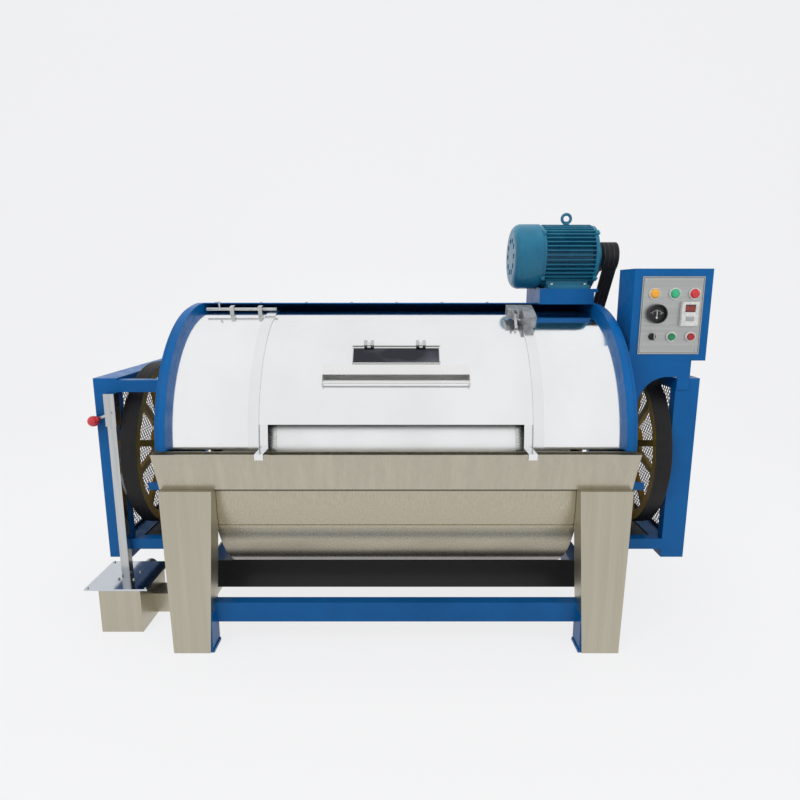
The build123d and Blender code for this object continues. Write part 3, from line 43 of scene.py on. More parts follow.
drum_axis_z = 0.655
# Heights over which painted shade darkens the underside of the tub
underside_shade_low, underside_shade_high = 0.225, 0.385
# Heights of the band of painted shadow on the tub under the apron's edge
apron_shadow_low, apron_shadow_high, apron_shadow_fade = 0.604, 0.640, 0.0025
# Bounds of the painted shade on the panel that closes the cradle below the tub
cradle_reach = 0.747
cradle_front, cradle_back, cradle_top = -0.312, -0.300, 0.248
# Bounds of the painted highlight on the hatch's border strips
hatch_border_x = 0.1565
hatch_border_low, hatch_border_high = 1.0470, 1.0930
wheel_rim_reach, rim_fade = 0.3405, 0.003

upright_grain = (260, 260, 2.2)
lengthwise_grain = (3, 240, 240)
panel_grain = (2.5, 260, 400)


# Colours

def tone(red, green, blue):
    """A colour written in screen values from 0 to 255, as shader values."""
    shades = []
    for value in (red, green, blue):
        share = value / 255
        shades.append(share / 12.92 if share <= 0.04045 else ((share + 0.055) / 1.055) ** 2.4)
    return (*shades, 1.0)


def shifted(colour, factor, rise=0):
    """A tone whose screen values are scaled and raised, up to white."""
    return tone(*(min(255, value * factor + rise) for value in colour))


def value_node(tree, operation, first, second=None):
    """A sum, product or other step of one or two values, each a socket or a number."""
    node = tree.nodes.new("ShaderNodeMath")
    node.operation = operation
    for socket, value in zip(node.inputs, (first, second)):
        if isinstance(value, (int, float)):
            socket.default_value = value
        elif value is not None:
            tree.links.new(value, socket)
    return node.outputs[0]


class Finish:
    """A material that is put together from texture nodes on the object's own coordinates."""

    def __init__(self, name, roughness, metallic=0.0, specular=0.5, coat=0.0, coat_roughness=0.1):
        self.material = bpy.data.materials.new(name)
        self.material.use_nodes = True
        self.tree = self.material.node_tree
        self.tree.nodes.clear()
        self.output = self.tree.nodes.new("ShaderNodeOutputMaterial")
        self.shader = self.tree.nodes.new("ShaderNodeBsdfPrincipled")
        self.tree.links.new(self.shader.outputs[0], self.output.inputs["Surface"])
        self.shader.inputs["Roughness"].default_value = roughness
        self.shader.inputs["Metallic"].default_value = metallic
        self.shader.inputs["Specular IOR Level"].default_value = specular
        self.shader.inputs["Coat Weight"].default_value = coat
        self.shader.inputs["Coat Roughness"].default_value = coat_roughness
        self.coordinates = self.tree.nodes.new("ShaderNodeTexCoord")
        self.normal = None

    def noise(self, scale, stretch=(1, 1, 1), *, detail, roughness=0.55):
        """Noise whose scale is in waves per metre, stretched by a factor along each axis."""
        mapping = self.tree.nodes.new("ShaderNodeMapping")
        mapping.inputs["Scale"].default_value = stretch
        self.tree.links.new(self.coordinates.outputs["Object"], mapping.inputs["Vector"])
        texture = self.tree.nodes.new("ShaderNodeTexNoise")
        texture.inputs["Scale"].default_value = scale
        texture.inputs["Detail"].default_value = detail
        texture.inputs["Roughness"].default_value = roughness
        self.tree.links.new(mapping.outputs[0], texture.inputs["Vector"])
        return texture.outputs["Fac"]

    def span(self, source, low=0.35, high=0.7, to_low=0, to_high=1):
        """A value carried from one range to another, held at its ends."""
        node = self.tree.nodes.new("ShaderNodeMapRange")
        node.inputs["From Min"].default_value = low
        node.inputs["From Max"].default_value = high
        node.inputs["To Min"].default_value = to_low
        node.inputs["To Max"].default_value = to_high
        self.tree.links.new(source, node.inputs["Value"])
        return node.outputs[0]

    def blend(self, factor, first, second):
        """A colour between two colours, each a fixed colour or another blend."""
        node = self.tree.nodes.new("ShaderNodeMix")
        node.data_type = "RGBA"
        self.tree.links.new(factor, node.inputs["Factor"])
        for socket, colour in ((node.inputs[6], first), (node.inputs[7], second)):
            if isinstance(colour, tuple):
                socket.default_value = colour
            else:
                self.tree.links.new(colour, socket)
        return node.outputs[2]

    def mottled(self, source, first, second, low=0.35, high=0.7, share=1):
        """A colour that goes from the first towards the second as the source rises."""
        return self.blend(self.span(source, low, high, 0, share), first, second)

    def combine(self, operation, first, second=None):
        """A step of one or two values, each a socket or a number."""
        return value_node(self.tree, operation, first, second)

    def along(self, axis):
        """The place along an axis of the object, in metres."""
        node = self.tree.nodes.new("ShaderNodeSeparateXYZ")
        self.tree.links.new(self.coordinates.outputs["Object"], node.inputs[0])
        return node.outputs["XYZ".index(axis)]

    def reach(self, height):
        """The distance from a line along X at a height, in metres."""
        rise = self.combine("SUBTRACT", self.along("Z"), height)
        depth = self.along("Y")
        return self.combine("SQRT", self.combine("ADD", self.combine("MULTIPLY", rise, rise),
                                                 self.combine("MULTIPLY", depth, depth)))

    def past(self, source, limit, fade=0.0005):
        """One where the source is over a limit and nought below it, with a narrow soft edge."""
        return self.span(source, limit - fade, limit + fade, 0, 1)

    def short_of(self, source, limit, fade=0.0005):
        """One where the source is below a limit and nought over it, with a narrow soft edge."""
        return self.span(source, limit - fade, limit + fade, 1, 0)

    def between(self, axis, low, high, fade=0.0005):
        """One between two places along an axis and nought outside them."""
        place = self.along(axis)
        return self.combine("MULTIPLY", self.past(place, low, fade), self.short_of(place, high, fade))

    def colour(self, source):
        self.tree.links.new(source, self.shader.inputs["Base Color"])

    def roughness(self, source, smoothest, roughest, low=0.35, high=0.7):
        """Let the roughness rise with the source."""
        self.tree.links.new(self.span(source, low, high, smoothest, roughest),
                            self.shader.inputs["Roughness"])

    def rounded(self, radius):
        """Soften the look of sharp edges."""
        node = self.tree.nodes.new("ShaderNodeBevel")
        node.samples = 4
        node.inputs["Radius"].default_value = radius
        self.normal = node.outputs[0]
        self.tree.links.new(self.normal, self.shader.inputs["Normal"])

    def bump(self, source, height, strength):
        """Raise the surface by a height in metres where the source is high."""
        node = self.tree.nodes.new("ShaderNodeBump")
        node.inputs["Strength"].default_value = strength
        node.inputs["Distance"].default_value = height
        self.tree.links.new(source, node.inputs["Height"])
        if self.normal is not None:
            self.tree.links.new(self.normal, node.inputs["Normal"])
        self.normal = node.outputs[0]
        self.tree.links.new(self.normal, self.shader.inputs["Normal"])


# Makers of materials

def paint(name, main, shade, roughness, coat=0.0, edge=0.0015):
    """Gloss paint on steel with a fine orange-peel surface, slow colour changes and dull scuffs."""
    finish = Finish(name, roughness, specular=0.2, coat=coat, coat_roughness=0.12)
    base = finish.mottled(finish.noise(5, detail=4), tone(*main), tone(*shade))
    scuffs = finish.noise(55, (1, 1, 0.35), detail=6)
    finish.colour(finish.mottled(scuffs, base, shifted(main, 1.12, 22), 0.62, 0.8, share=0.35))
    finish.roughness(finish.noise(24, detail=5), roughness - 0.06, roughness + 0.14)
    finish.rounded(edge)
    finish.bump(finish.noise(420, detail=2), height=0.00012, strength=0.5)
    return finish.material


def paint_with_painted_shade(name, main, shade, shade_tone):
    """Blue paint with painted shade: a dark colour on the panel that closes the cradle below the tub,
    where shade falls under it.
    """
    finish = Finish(name, roughness=0.36, specular=0.2, coat=0.08, coat_roughness=0.12)
    base = finish.mottled(finish.noise(5, detail=4), tone(*main), tone(*shade))
    # Painted shade: the cradle panel below the tub is coloured dark where shade falls under the tub
    across = finish.short_of(finish.combine("ABSOLUTE", finish.along("X")), cradle_reach)
    depth = finish.between("Y", cradle_front, cradle_back)
    painted_shade_mask = finish.combine("MULTIPLY", finish.combine("MULTIPLY", across, depth),
                            finish.short_of(finish.along("Z"), cradle_top))
    finish.colour(finish.blend(painted_shade_mask, base, tone(*shade_tone)))
    finish.rounded(0.0015)
    finish.bump(finish.noise(420, detail=2), height=0.00012, strength=0.5)
    return finish.material


def wheel_paint(name, main, shade, rim):
    """Cast spokes in one paint, and a rim that the belts have blackened."""
    finish = Finish(name, roughness=0.42, specular=0.3, coat=0.1, coat_roughness=0.12)
    spokes = finish.mottled(finish.noise(6, detail=5), tone(*main), tone(*shade))
    blackened = finish.span(finish.reach(drum_axis_z), wheel_rim_reach, wheel_rim_reach + rim_fade)
    finish.colour(finish.blend(blackened, spokes, tone(*rim)))
    finish.rounded(0.0015)
    finish.bump(finish.noise(260, detail=4), height=0.0002, strength=0.5)
    return finish.material


def brushed(name, main, shade, roughness, stretch=upright_grain):
    """Brushed stainless steel with fine streaks along one direction."""
    finish = Finish(name, roughness, metallic=1.0)
    streaks = finish.noise(1.0, stretch, detail=4, roughness=0.7)
    broad = finish.noise(1.0, tuple(value * 0.12 + 0.4 for value in stretch), detail=3)
    mixed = finish.mottled(streaks, tone(*main), tone(*shade), 0.3)
    finish.colour(finish.mottled(broad, mixed, shifted(main, 1.08), 0.42, 0.68, share=0.4))
    finish.roughness(streaks, roughness - 0.07, roughness + 0.1, 0.3)
    finish.rounded(0.001)
    finish.bump(streaks, height=0.00004, strength=0.6)
    return finish.material


def shaded_steel(name, main, shade, dull, roughness):
    """Brushed steel with painted shade darkening its underside, and a painted shadow in a band just
    under the apron's edge above it.
    """
    finish = Finish(name, roughness, metallic=1.0)
    streaks = finish.noise(1.0, upright_grain, detail=4, roughness=0.7)
    mixed = finish.mottled(streaks, tone(*main), tone(*shade), 0.3)
    # Painted shade: the dull colour darkens the underside, with a wavy edge, and a painted shadow
    # darkens a band under the apron's edge
    shade_edge_wobble = finish.span(finish.noise(3, (1, 1, 2), detail=5), 0.3, 0.7, -0.02, 0.02)
    height = finish.combine("ADD", finish.along("Z"), shade_edge_wobble)
    apron_shadow = finish.between("Z", apron_shadow_low, apron_shadow_high, apron_shadow_fade)
    painted_shade = finish.combine("MAXIMUM", finish.span(height, underside_shade_low, underside_shade_high, 1, 0), apron_shadow)
    finish.colour(finish.blend(painted_shade, mixed, tone(*dull)))
    finish.roughness(streaks, roughness - 0.07, roughness + 0.1, 0.3)
    finish.rounded(0.001)
    finish.bump(streaks, height=0.00004, strength=0.6)
    return finish.material


def mirror(name, main, roughness, wave=0.0006, metallic=1.0):
    """Polished sheet steel, a little wavy, with faint wiping marks."""
    finish = Finish(name, roughness, metallic=metallic)
    marks = finish.noise(3.5, (1, 1, 0.5), detail=5)
    finish.colour(finish.mottled(marks, tone(*main), shifted(main, 0.975), 0.4))
    finish.roughness(marks, roughness, roughness + 0.04)
    finish.bump(finish.noise(2.6, detail=1), height=wave, strength=0.5)
    return finish.material


def hatch_plate(name, border_highlight, dark):
    """A polished plate whose pane is painted as a dark reflection with lighter streaks, and whose
    folded border carries a painted highlight.
    """
    finish = Finish(name, roughness=0.1, metallic=1.0)
    # Painted highlight on the border strips; the pane is a painted dark reflection with lighter streaks
    sides = finish.past(finish.combine("ABSOLUTE", finish.along("X")), hatch_border_x)
    ends = finish.combine("MAXIMUM", finish.past(finish.along("Z"), hatch_border_high),
                          finish.short_of(finish.along("Z"), hatch_border_low))
    painted_reflection = finish.mottled(finish.noise(5, (1, 2, 2), detail=2),
                          tone(*dark), shifted(dark, 1.7), 0.4, 0.65)
    finish.colour(finish.blend(finish.combine("MAXIMUM", sides, ends), painted_reflection, tone(*border_highlight)))
    finish.rounded(0.0006)
    finish.bump(finish.noise(2.6, detail=1), height=0.0004, strength=0.5)
    return finish.material


def turned(name, main, roughness, dark=0.8):
    """Turned or ground steel with fine marks round its axis and slight stains."""
    finish = Finish(name, roughness, metallic=1.0)
    rings = finish.noise(1.0, (900, 8, 8), detail=2)
    finish.colour(finish.mottled(finish.noise(30, detail=4), tone(*main), shifted(main, dark), 0.4))
    finish.roughness(rings, roughness - 0.06, roughness + 0.12, 0.3)
    finish.rounded(0.0006)
    finish.bump(rings, height=0.00003, strength=0.5)
    return finish.material


def cast(name, main, roughness=0.55):
    """Painted cast iron with a sandy surface."""
    finish = Finish(name, roughness, metallic=0.35)
    finish.colour(finish.mottled(finish.noise(40, detail=6), tone(*main), shifted(main, 0.7)))
    finish.rounded(0.0012)
    finish.bump(finish.noise(260, detail=5), height=0.0003, strength=0.6)
    return finish.material


def plastic(name, main, roughness, coat=0.0):
    """Moulded plastic with a fine grain and a slight change of tone."""
    finish = Finish(name, roughness, coat=coat)
    finish.colour(finish.mottled(finish.noise(60, detail=3), tone(*main), shifted(main, 0.88)))
    finish.roughness(finish.noise(140, detail=3), roughness - 0.05, roughness + 0.08, 0.3)
    finish.rounded(0.0006)
    finish.bump(finish.noise(900, detail=2), height=0.00004, strength=0.5)
    return finish.material


def lens(name, main):
    """Coloured plastic of a lamp, uneven in tone and surface like a faceted lens."""
    finish = Finish(name, roughness=0.16, specular=0.6, coat=0.5)
    finish.colour(finish.mottled(finish.noise(240, detail=2), tone(*main), shifted(main, 1.1, 16)))
    finish.bump(finish.noise(300, detail=1), height=0.0003, strength=0.5)
    return finish.material


def rubber(name):
    """Belt rubber with a ribbed cloth cover and dusty wear."""
    finish = Finish(name, roughness=0.62, specular=0.35)
    dust = finish.noise(30, detail=6)
    finish.colour(finish.mottled(dust, tone(22, 20, 21), tone(38, 34, 34), 0.45, 0.75, share=0.55))
    finish.rounded(0.0008)
    finish.bump(finish.noise(700, detail=2), height=0.00015, strength=0.6)
    return finish.material


# Materials of the CAD nodes

blue_paint = paint("blue_paint", (0, 97, 164), (0, 87, 149), 0.36, coat=0.08)
# Frame paint, with painted shade on the cradle panel under the tub
frame_paint = paint_with_painted_shade("frame_paint", (0, 92, 156), (0, 82, 142), (44, 42, 41))
motor_paint = paint("motor_paint", (44, 126, 154), (26, 96, 128), 0.3, coat=0.2, edge=0.0012)
wheel_gold = wheel_paint("wheel_gold", (182, 138, 24), (150, 106, 14), (36, 32, 33))
tray_paint = paint("tray_paint", (92, 93, 94), (74, 75, 77), 0.5)
net_paint = paint("net_paint", (92, 76, 70), (66, 54, 50), 0.55, edge=0.0004)
# The warm beige tone of the leg, tub, apron and box steel is a painted reflection of a warm floor
leg_steel = brushed("leg_steel", (189, 183, 165), (185, 179, 161), 0.38)
# Tub steel, with painted shade on its underside and a painted shadow under the apron
tub_steel = shaded_steel("tub_steel", (192, 184, 165), (182, 173, 152), (68, 60, 50), 0.27)
apron_steel = brushed("apron_steel", (188, 182, 165), (184, 178, 161), 0.32)
box_steel = brushed("box_steel", (188, 182, 165), (183, 177, 159), 0.34)
post_steel = brushed("post_steel", (206, 207, 207), (180, 181, 182), 0.2)
cover_steel = mirror("cover_steel", (206, 212, 218), 0.12, wave=0.0004)
inner_door_steel = mirror("inner_door_steel", (253, 253, 252), 0.3, wave=0.0002)
hood_steel = mirror("hood_steel", (249, 250, 250), 0.1)
door_steel = mirror("door_steel", (248, 248, 248), 0.09)
guide_steel = mirror("guide_steel", (244, 245, 245), 0.14, wave=0.0002)
handle_steel = mirror("handle_steel", (234, 234, 231), 0.26, wave=0.0002, metallic=0.5)
# Hatch, with a painted highlight on its border and a painted dark reflection on its pane
hatch_steel = hatch_plate("hatch_steel", (226, 226, 224), (60, 61, 66))
drum_steel = brushed("drum_steel", (222, 222, 219), (204, 204, 200), 0.26, lengthwise_grain)
plate_steel = brushed("plate_steel", (190, 192, 190), (178, 180, 178), 0.4, panel_grain)
bright_steel = turned("bright_steel", (206, 207, 206), 0.2, dark=0.88)
shaft_steel = turned("shaft_steel", (168, 168, 166), 0.28, dark=0.92)
bearing_steel = turned("bearing_steel", (182, 183, 184), 0.2)
cast_grey = cast("cast_grey", (104, 108, 112))
lock_grey = cast("lock_grey", (172, 175, 177), roughness=0.36)
sheave_grey = cast("sheave_grey", (84, 86, 88))
black_plastic = plastic("black_plastic", (24, 24, 25), 0.28)
white_plastic = plastic("white_plastic", (228, 227, 222), 0.42)
key_plastic = plastic("key_plastic", (176, 178, 180), 0.45)
green_plastic = plastic("green_plastic", (10, 136, 84), 0.25, coat=0.3)
red_plastic = plastic("red_plastic", (182, 16, 24), 0.22, coat=0.4)
ball_plastic = plastic("ball_plastic", (214, 36, 44), 0.18, coat=0.5)
needle_plastic = plastic("needle_plastic", (226, 224, 214), 0.4)
belt_rubber = rubber("belt_rubber")

node_finish = {
    frame_paint: ("main_frame",),
    blue_paint: ("foot_plates", "rear_cover", "arches", "end_panels", "motor_base",
                 "control_box", "support_plate", "guard_frames"),
    leg_steel: ("leg_covers",),
    tub_steel: ("tub", "tub_ends"),
    apron_steel: ("apron",),
    box_steel: ("drain_box", "drain_duct"),
    cover_steel: ("drain_plate",),
    post_steel: ("lever_post",),
    inner_door_steel: ("drum_door",),
    hood_steel: ("hood_sides",),
    door_steel: ("door",),
    guide_steel: ("door_guides",),
    handle_steel: ("door_handle",),
    hatch_steel: ("hatch",),
    drum_steel: ("drum_shell", "drum_ends", "drum_ribs", "inlet_pipes"),
    plate_steel: ("panel_plate",),
    bright_steel: ("slide_bolt", "bolt_clips", "interlock_lever", "hatch_pins"),
    shaft_steel: ("drum_shafts", "countershaft", "motor_rotor", "drain_rod"),
    bearing_steel: ("drum_bearings",),
    cast_grey: ("bearing_housings", "counter_bearings"),
    lock_grey: ("interlock_body",),
    sheave_grey: ("sheaves", "motor_pulley"),
    wheel_gold: ("belt_wheels",),
    belt_rubber: ("wheel_belts", "motor_belts"),
    motor_paint: ("motor_housing", "fan_cover", "lifting_eye"),
    net_paint: ("guard_nets",),
    tray_paint: ("guard_trays",),
    black_plastic: ("meter", "selector"),
    white_plastic: ("timer_body", "panel_bezels"),
    key_plastic: ("timer_key",),
    green_plastic: ("start_button",),
    red_plastic: ("stop_button", "lamps"),
    needle_plastic: ("meter_needle",),
    ball_plastic: ("lever",),
}
for finish, names in node_finish.items():
    for name in names:
        cad_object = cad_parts[name]
        if not cad_object.material_slots:
            cad_object.data.materials.append(finish)
        for material_slot in cad_object.material_slots:
            material_slot.material = finish


# Makers of shapes

def show(name, shape, finish, body="root", stands_for=(), smooth=True):
    """Put a finished shape in the scene, riding on a CAD body."""
    mesh = bpy.data.meshes.new(name)
    bmesh.ops.recalc_face_normals(shape, faces=shape.faces)
    shape.to_mesh(mesh)
    shape.free()
    piece = bpy.data.objects.new(name, mesh)
    bpy.context.scene.collection.objects.link(piece)
    mesh.materials.append(finish)
    for face in mesh.polygons:
        face.use_smooth = smooth
    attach(piece, body)
    if stands_for:
        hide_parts(*stands_for)


# Each turns the Z axis of a profile to an axis of the machine. Along "y" it then grows to the front
axis_frames = {
    "x": Matrix(((0, 0, 1, 0), (1, 0, 0, 0), (0, 1, 0, 0), (0, 0, 0, 1))),
    "y": Matrix(((1, 0, 0, 0), (0, 0, -1, 0), (0, 1, 0, 0), (0, 0, 0, 1))),
    "z": Matrix.Identity(4),
}


def lathe(shape, profile, place, axis, sides, flip=1):
    """Turn a profile of (radius, height) points round an axis through a place, ends closed."""
    placed = Matrix.Translation(place) @ axis_frames[axis]
    rings = []
    for radius, height in profile:
        ring = []
        for step in range(sides):
            angle = 2 * math.pi * step / sides
            ring.append(shape.verts.new(placed @ Vector(
                (radius * math.cos(angle), radius * math.sin(angle), flip * height))))
        rings.append(ring)
    for lower, upper in zip(rings, rings[1:]):
        for step in range(sides):
            after = (step + 1) % sides
            shape.faces.new((lower[step], lower[after], upper[after], upper[step]))
    shape.faces.new(rings[0][::-1])
    shape.faces.new(rings[-1])


def soft_block(shape, low, high, edge, segments):
    """A block with rounded edges."""
    centre = (Vector(low) + Vector(high)) / 2
    size = Vector(high) - Vector(low)
    made = bmesh.ops.create_cube(
        shape, size=1.0, matrix=Matrix.Translation(centre) @ Matrix.Diagonal((*size, 1)))
    edges = {edge_item for vertex in made["verts"] for edge_item in vertex.link_edges}
    bmesh.ops.bevel(shape, geom=list(edges), offset=edge, segments=segments,
                    affect="EDGES", profile=0.5)


def wire(shape, start, end, radius, sides):
    """A straight round wire or bar between two points."""
    start, end = Vector(start), Vector(end)
    along = (end - start).normalized()
    across = along.orthogonal().normalized()
    other = along.cross(across)
    rings = []
    for point in (start, end):
        ring = []
        for step in range(sides):
            angle = 2 * math.pi * step / sides
            ring.append(shape.verts.new(
                point + radius * (math.cos(angle) * across + math.sin(angle) * other)))
        rings.append(ring)
    for step in range(sides):
        after = (step + 1) % sides
        shape.faces.new((rings[0][step], rings[0][after], rings[1][after], rings[1][step]))
    shape.faces.new(rings[0][::-1])
    shape.faces.new(rings[1])


def hex_bolt(shape, place, axis, size, flip=1):
    """A hexagon head with a chamfer on a round washer."""
    washer = [(size * 1.15, 0), (size * 1.15, size * 0.18), (size * 1.05, size * 0.24)]
    hexagon = [(size, size * 0.24), (size, size * 0.85), (size * 0.82, size * 0.98), (size * 0.3, size)]
    lathe(shape, washer, place, axis, 24, flip)
    lathe(shape, hexagon, place, axis, 6, flip)


def bolt_circle(shape, centre, radius, count, size, flip=1):
    """Hexagon bolts along X that stand evenly on a circle."""
    centre_x, centre_y, centre_z = centre
    for step in range(count):
        turn = 2 * math.pi * (step + 0.5) / count
        place = (centre_x, centre_y + radius * math.cos(turn), centre_z + radius * math.sin(turn))
        hex_bolt(shape, place, "x", size, flip)


def pan_screw(shape, place, axis, size, flip=1):
    """A low domed screw head."""
    dome = [(size, 0), (size, size * 0.25), (size * 0.8, size * 0.5), (size * 0.42, size * 0.62)]
    lathe(shape, dome, place, axis, 20, flip)


def border_bars(low_across, high_across, low_up, high_up, bar):
    """The four bars of a rectangular border, each as its low and high ends across and up."""
    return ((low_across, high_across, high_up - bar, high_up),
            (low_across, high_across, low_up, low_up + bar),
            (low_across, low_across + bar, low_up, high_up),
            (high_across - bar, high_across, low_up, high_up))


# Places of the panel's pieces, in metres

panel_y = -0.299
panel_low_x, panel_high_x, panel_low_z, panel_high_z = 0.9045, 1.1255, 1.0715, 1.3485
panel_bar, border_front, border_back = 0.0016, panel_y - 0.0003, panel_y + 0.001
panel_screw_xs, panel_screw_zs = (0.913, 1.117), (1.080, 1.340)
lamp_xs, lamp_z = (0.947, 1.021, 1.093), 1.290
control_z = 1.133
selector_x, start_x, stop_x = 0.950, 1.020, 1.091
meter_x, dial_y, dial_z, needle_z = 0.959, -0.305, 1.217, 1.203
timer_y = panel_y - 0.014
display_front, display_back, digit_front = timer_y + 0.0007, timer_y + 0.0021, timer_y + 0.00065
display_low_x, display_high_x, display_low_z, display_high_z = 1.0595, 1.0965, 1.2235, 1.2505
digit_xs, digit_z = (1.0640, 1.0745, 1.0850), 1.2300
digit_high, digit_wide, digit_bar = 0.0140, 0.0076, 0.0013


# Panel pieces

# Domed lenses of the three lamps
lens_colours = {"yellow": (238, 158, 22), "green": (20, 164, 110), "red": (196, 14, 24)}
lens_outline = [(0.0168, 0), (0.0168, 0.006), (0.0158, 0.0068), (0.0158, 0.009), (0.0150, 0.0118),
                (0.0125, 0.0142), (0.0085, 0.0154), (0.003, 0.0159)]
for lens_x, (colour_name, colour) in zip(lamp_xs, lens_colours.items()):
    lens_finish = lens("lens_" + colour_name, colour)
    shape = bmesh.new()
    lathe(shape, lens_outline, (lens_x, panel_y, lamp_z), "y", 48)
    show("lens_" + colour_name, shape, lens_finish, stands_for=("lamps",))

# Push buttons with dished caps
cap_outline = [(0.0128, -0.003), (0.0128, 0.0118), (0.0122, 0.0134), (0.0108, 0.0139),
               (0.0092, 0.0132), (0.0055, 0.0124), (0.001, 0.0122)]
for button_x, body, finish, slot_name in ((start_x, "start_button", green_plastic, "green_plastic"),
                                          (stop_x, "stop_button", red_plastic, "red_plastic")):
    shape = bmesh.new()
    lathe(shape, cap_outline, (button_x, panel_y, control_z), "y", 44)
    show(body + "_cap", shape, finish, body, stands_for=(body,))

# Selector knob with a skirt, a grip and a white line
grip_half_x, grip_half_z, grip_front, grip_back = 0.003, 0.0126, panel_y - 0.0199, panel_y - 0.009
line_half_x, line_front, line_back = 0.0014, panel_y - 0.01998, panel_y - 0.0188
line_low, line_high = control_z - 0.009, control_z + 0.012
skirt_outline = [(0.0129, 0.0006), (0.0129, 0.0035), (0.0118, 0.0052), (0.0108, 0.0092),
                 (0.0098, 0.0102)]
shape = bmesh.new()
lathe(shape, skirt_outline, (selector_x, panel_y, control_z), "y", 44)
soft_block(shape, (selector_x - grip_half_x, grip_front, control_z - grip_half_z),
           (selector_x + grip_half_x, grip_back, control_z + grip_half_z), edge=0.0012, segments=3)
show("selector_knob", shape, black_plastic, "selector", stands_for=("selector",))
shape = bmesh.new()
soft_block(shape, (selector_x - line_half_x, line_front, line_low),
           (selector_x + line_half_x, line_back, line_high), edge=0.0003, segments=1)
show("selector_line", shape, needle_plastic, "selector")

# Meter face with its scale and plain numbers
scale_half_angle = 50
scale_inner, scale_outer, long_tick_end, short_tick_end = 0.0252, 0.0262, 0.0302, 0.0284
long_tick_half, short_tick_half = 0.0005, 0.00028
number_reach, number_size = 0.0205, 0.0062
needle_pivot = Vector((meter_x, dial_y - 0.0002, needle_z))
scale_lift = Vector((0, -0.00004, 0))
number_lift = Vector((0, -0.00006, 0))


def dial_way(degrees):
    """The way along the dial at an angle from upright."""
    return Vector((math.sin(math.radians(degrees)), 0, math.cos(math.radians(degrees))))


dial_finish = plastic("dial_black", (20, 22, 24), 0.45)
shape = bmesh.new()
lathe(shape, [(0.0308, 0), (0.0308, 0.00018), (0.0300, 0.0002)], (meter_x, dial_y, dial_z), "y", 56)
show("dial_face", shape, dial_finish, smooth=False)
scale_finish = plastic("scale_white", (232, 231, 222), 0.5)
shape = bmesh.new()
scale_ways = [dial_way(scale_half_angle * (step / 20 - 1)) for step in range(41)]
for first_way, second_way in zip(scale_ways, scale_ways[1:]):
    corners = [needle_pivot + scale_lift + radius * way
               for radius, way in ((scale_inner, first_way), (scale_outer, first_way),
                                   (scale_outer, second_way), (scale_inner, second_way))]
    shape.faces.new([shape.verts.new(corner) for corner in corners])
for step in range(11):
    is_long = step % 5 == 0
    tick_end = long_tick_end if is_long else short_tick_end
    half = long_tick_half if is_long else short_tick_half
    way = dial_way(scale_half_angle * (step / 5 - 1))
    side_way = Vector((way.z, 0, -way.x))
    corners = [needle_pivot + scale_lift + way * radius + side_way * offset
               for radius, offset in ((scale_outer, -half), (tick_end, -half),
                                      (tick_end, half), (scale_outer, half))]
    shape.faces.new([shape.verts.new(corner) for corner in corners])
show("dial_scale", shape, scale_finish, smooth=False)
for label, angle in (("0", -46), ("50", 0), ("100", 46)):
    text = bpy.data.curves.new("dial_number_" + label, "FONT")
    text.body = label
    text.size = number_size
    text.align_x = "CENTER"
    text.align_y = "CENTER"
    number = bpy.data.objects.new("dial_number_" + label, text)
    bpy.context.scene.collection.objects.link(number)
    number.location = needle_pivot + number_lift + number_reach * dial_way(angle)
    number.rotation_euler = (math.radians(90), 0, 0)
    text.materials.append(scale_finish)
    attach(number, "root")

# Timer display with three noughts
display_finish = plastic("display_red", (92, 24, 20), 0.12, coat=0.6)
shape = bmesh.new()
soft_block(shape, (display_low_x, display_front, display_low_z),
           (display_high_x, display_back, display_high_z), edge=0.0006, segments=2)
show("timer_display", shape, display_finish)
digit_finish = plastic("digit_red", (236, 84, 60), 0.4)
shape = bmesh.new()
for digit_x in digit_xs:
    for low_x, high_x, low_z, high_z in border_bars(digit_x, digit_x + digit_wide,
                                                    digit_z, digit_z + digit_high, digit_bar):
        corners = ((low_x, low_z), (high_x, low_z), (high_x, high_z), (low_x, high_z))
        shape.faces.new([shape.verts.new((x, digit_front, z)) for x, z in corners])
show("timer_digits", shape, digit_finish, smooth=False)

# Panel screws and a thin raised border
shape = bmesh.new()
for screw_x in panel_screw_xs:
    for screw_z in panel_screw_zs:
        pan_screw(shape, (screw_x, panel_y, screw_z), "y", size=0.0042)
show("panel_screws", shape, bright_steel)
dark_border = paint("dark_border", (42, 48, 54), (34, 38, 44), 0.5, edge=0.0003)
shape = bmesh.new()
for low_x, high_x, low_z, high_z in border_bars(panel_low_x, panel_high_x,
                                                panel_low_z, panel_high_z, panel_bar):
    soft_block(shape, (low_x, border_front, low_z), (high_x, border_back, high_z),
               edge=0.0001, segments=1)
show("panel_border", shape, dark_border, smooth=False)


# Drain lever: a red ball on a steel bar with a collar, and its pivot pin

lever_pivot = Vector((-1.067, -0.312, 0.851))
lever_angle = math.radians(24)
lever_way = Vector((-math.cos(lever_angle), 0, -math.sin(lever_angle)))
ball_radius, neck_radius = 0.0208, 0.0095
bar_radius, collar_radius, pin_radius = 0.0056, 0.0060, 0.0039
ball_centre = lever_pivot + lever_way * 0.092
neck_end, neck_root, bar_end = (ball_centre - lever_way * inset for inset in (0.0245, 0.017, 0.015))
collar_low, collar_high = lever_pivot + lever_way * 0.030, lever_pivot + lever_way * 0.036
pin_half = Vector((0, 0.0198, 0))
shape = bmesh.new()
bmesh.ops.create_uvsphere(shape, u_segments=48, v_segments=28, radius=ball_radius,
                          matrix=Matrix.Translation(ball_centre))
wire(shape, neck_end, neck_root, neck_radius, 32)
show("lever_ball", shape, ball_plastic, "lever", stands_for=("lever",))
shape = bmesh.new()
wire(shape, lever_pivot, bar_end, bar_radius, 32)
wire(shape, collar_low, collar_high, collar_radius, 32)
wire(shape, lever_pivot - pin_half, lever_pivot + pin_half, pin_radius, 24)
show("lever_bar", shape, bright_steel, "lever", stands_for=("lever",))


# Nets of crossed wires in both guards, and their edge strips

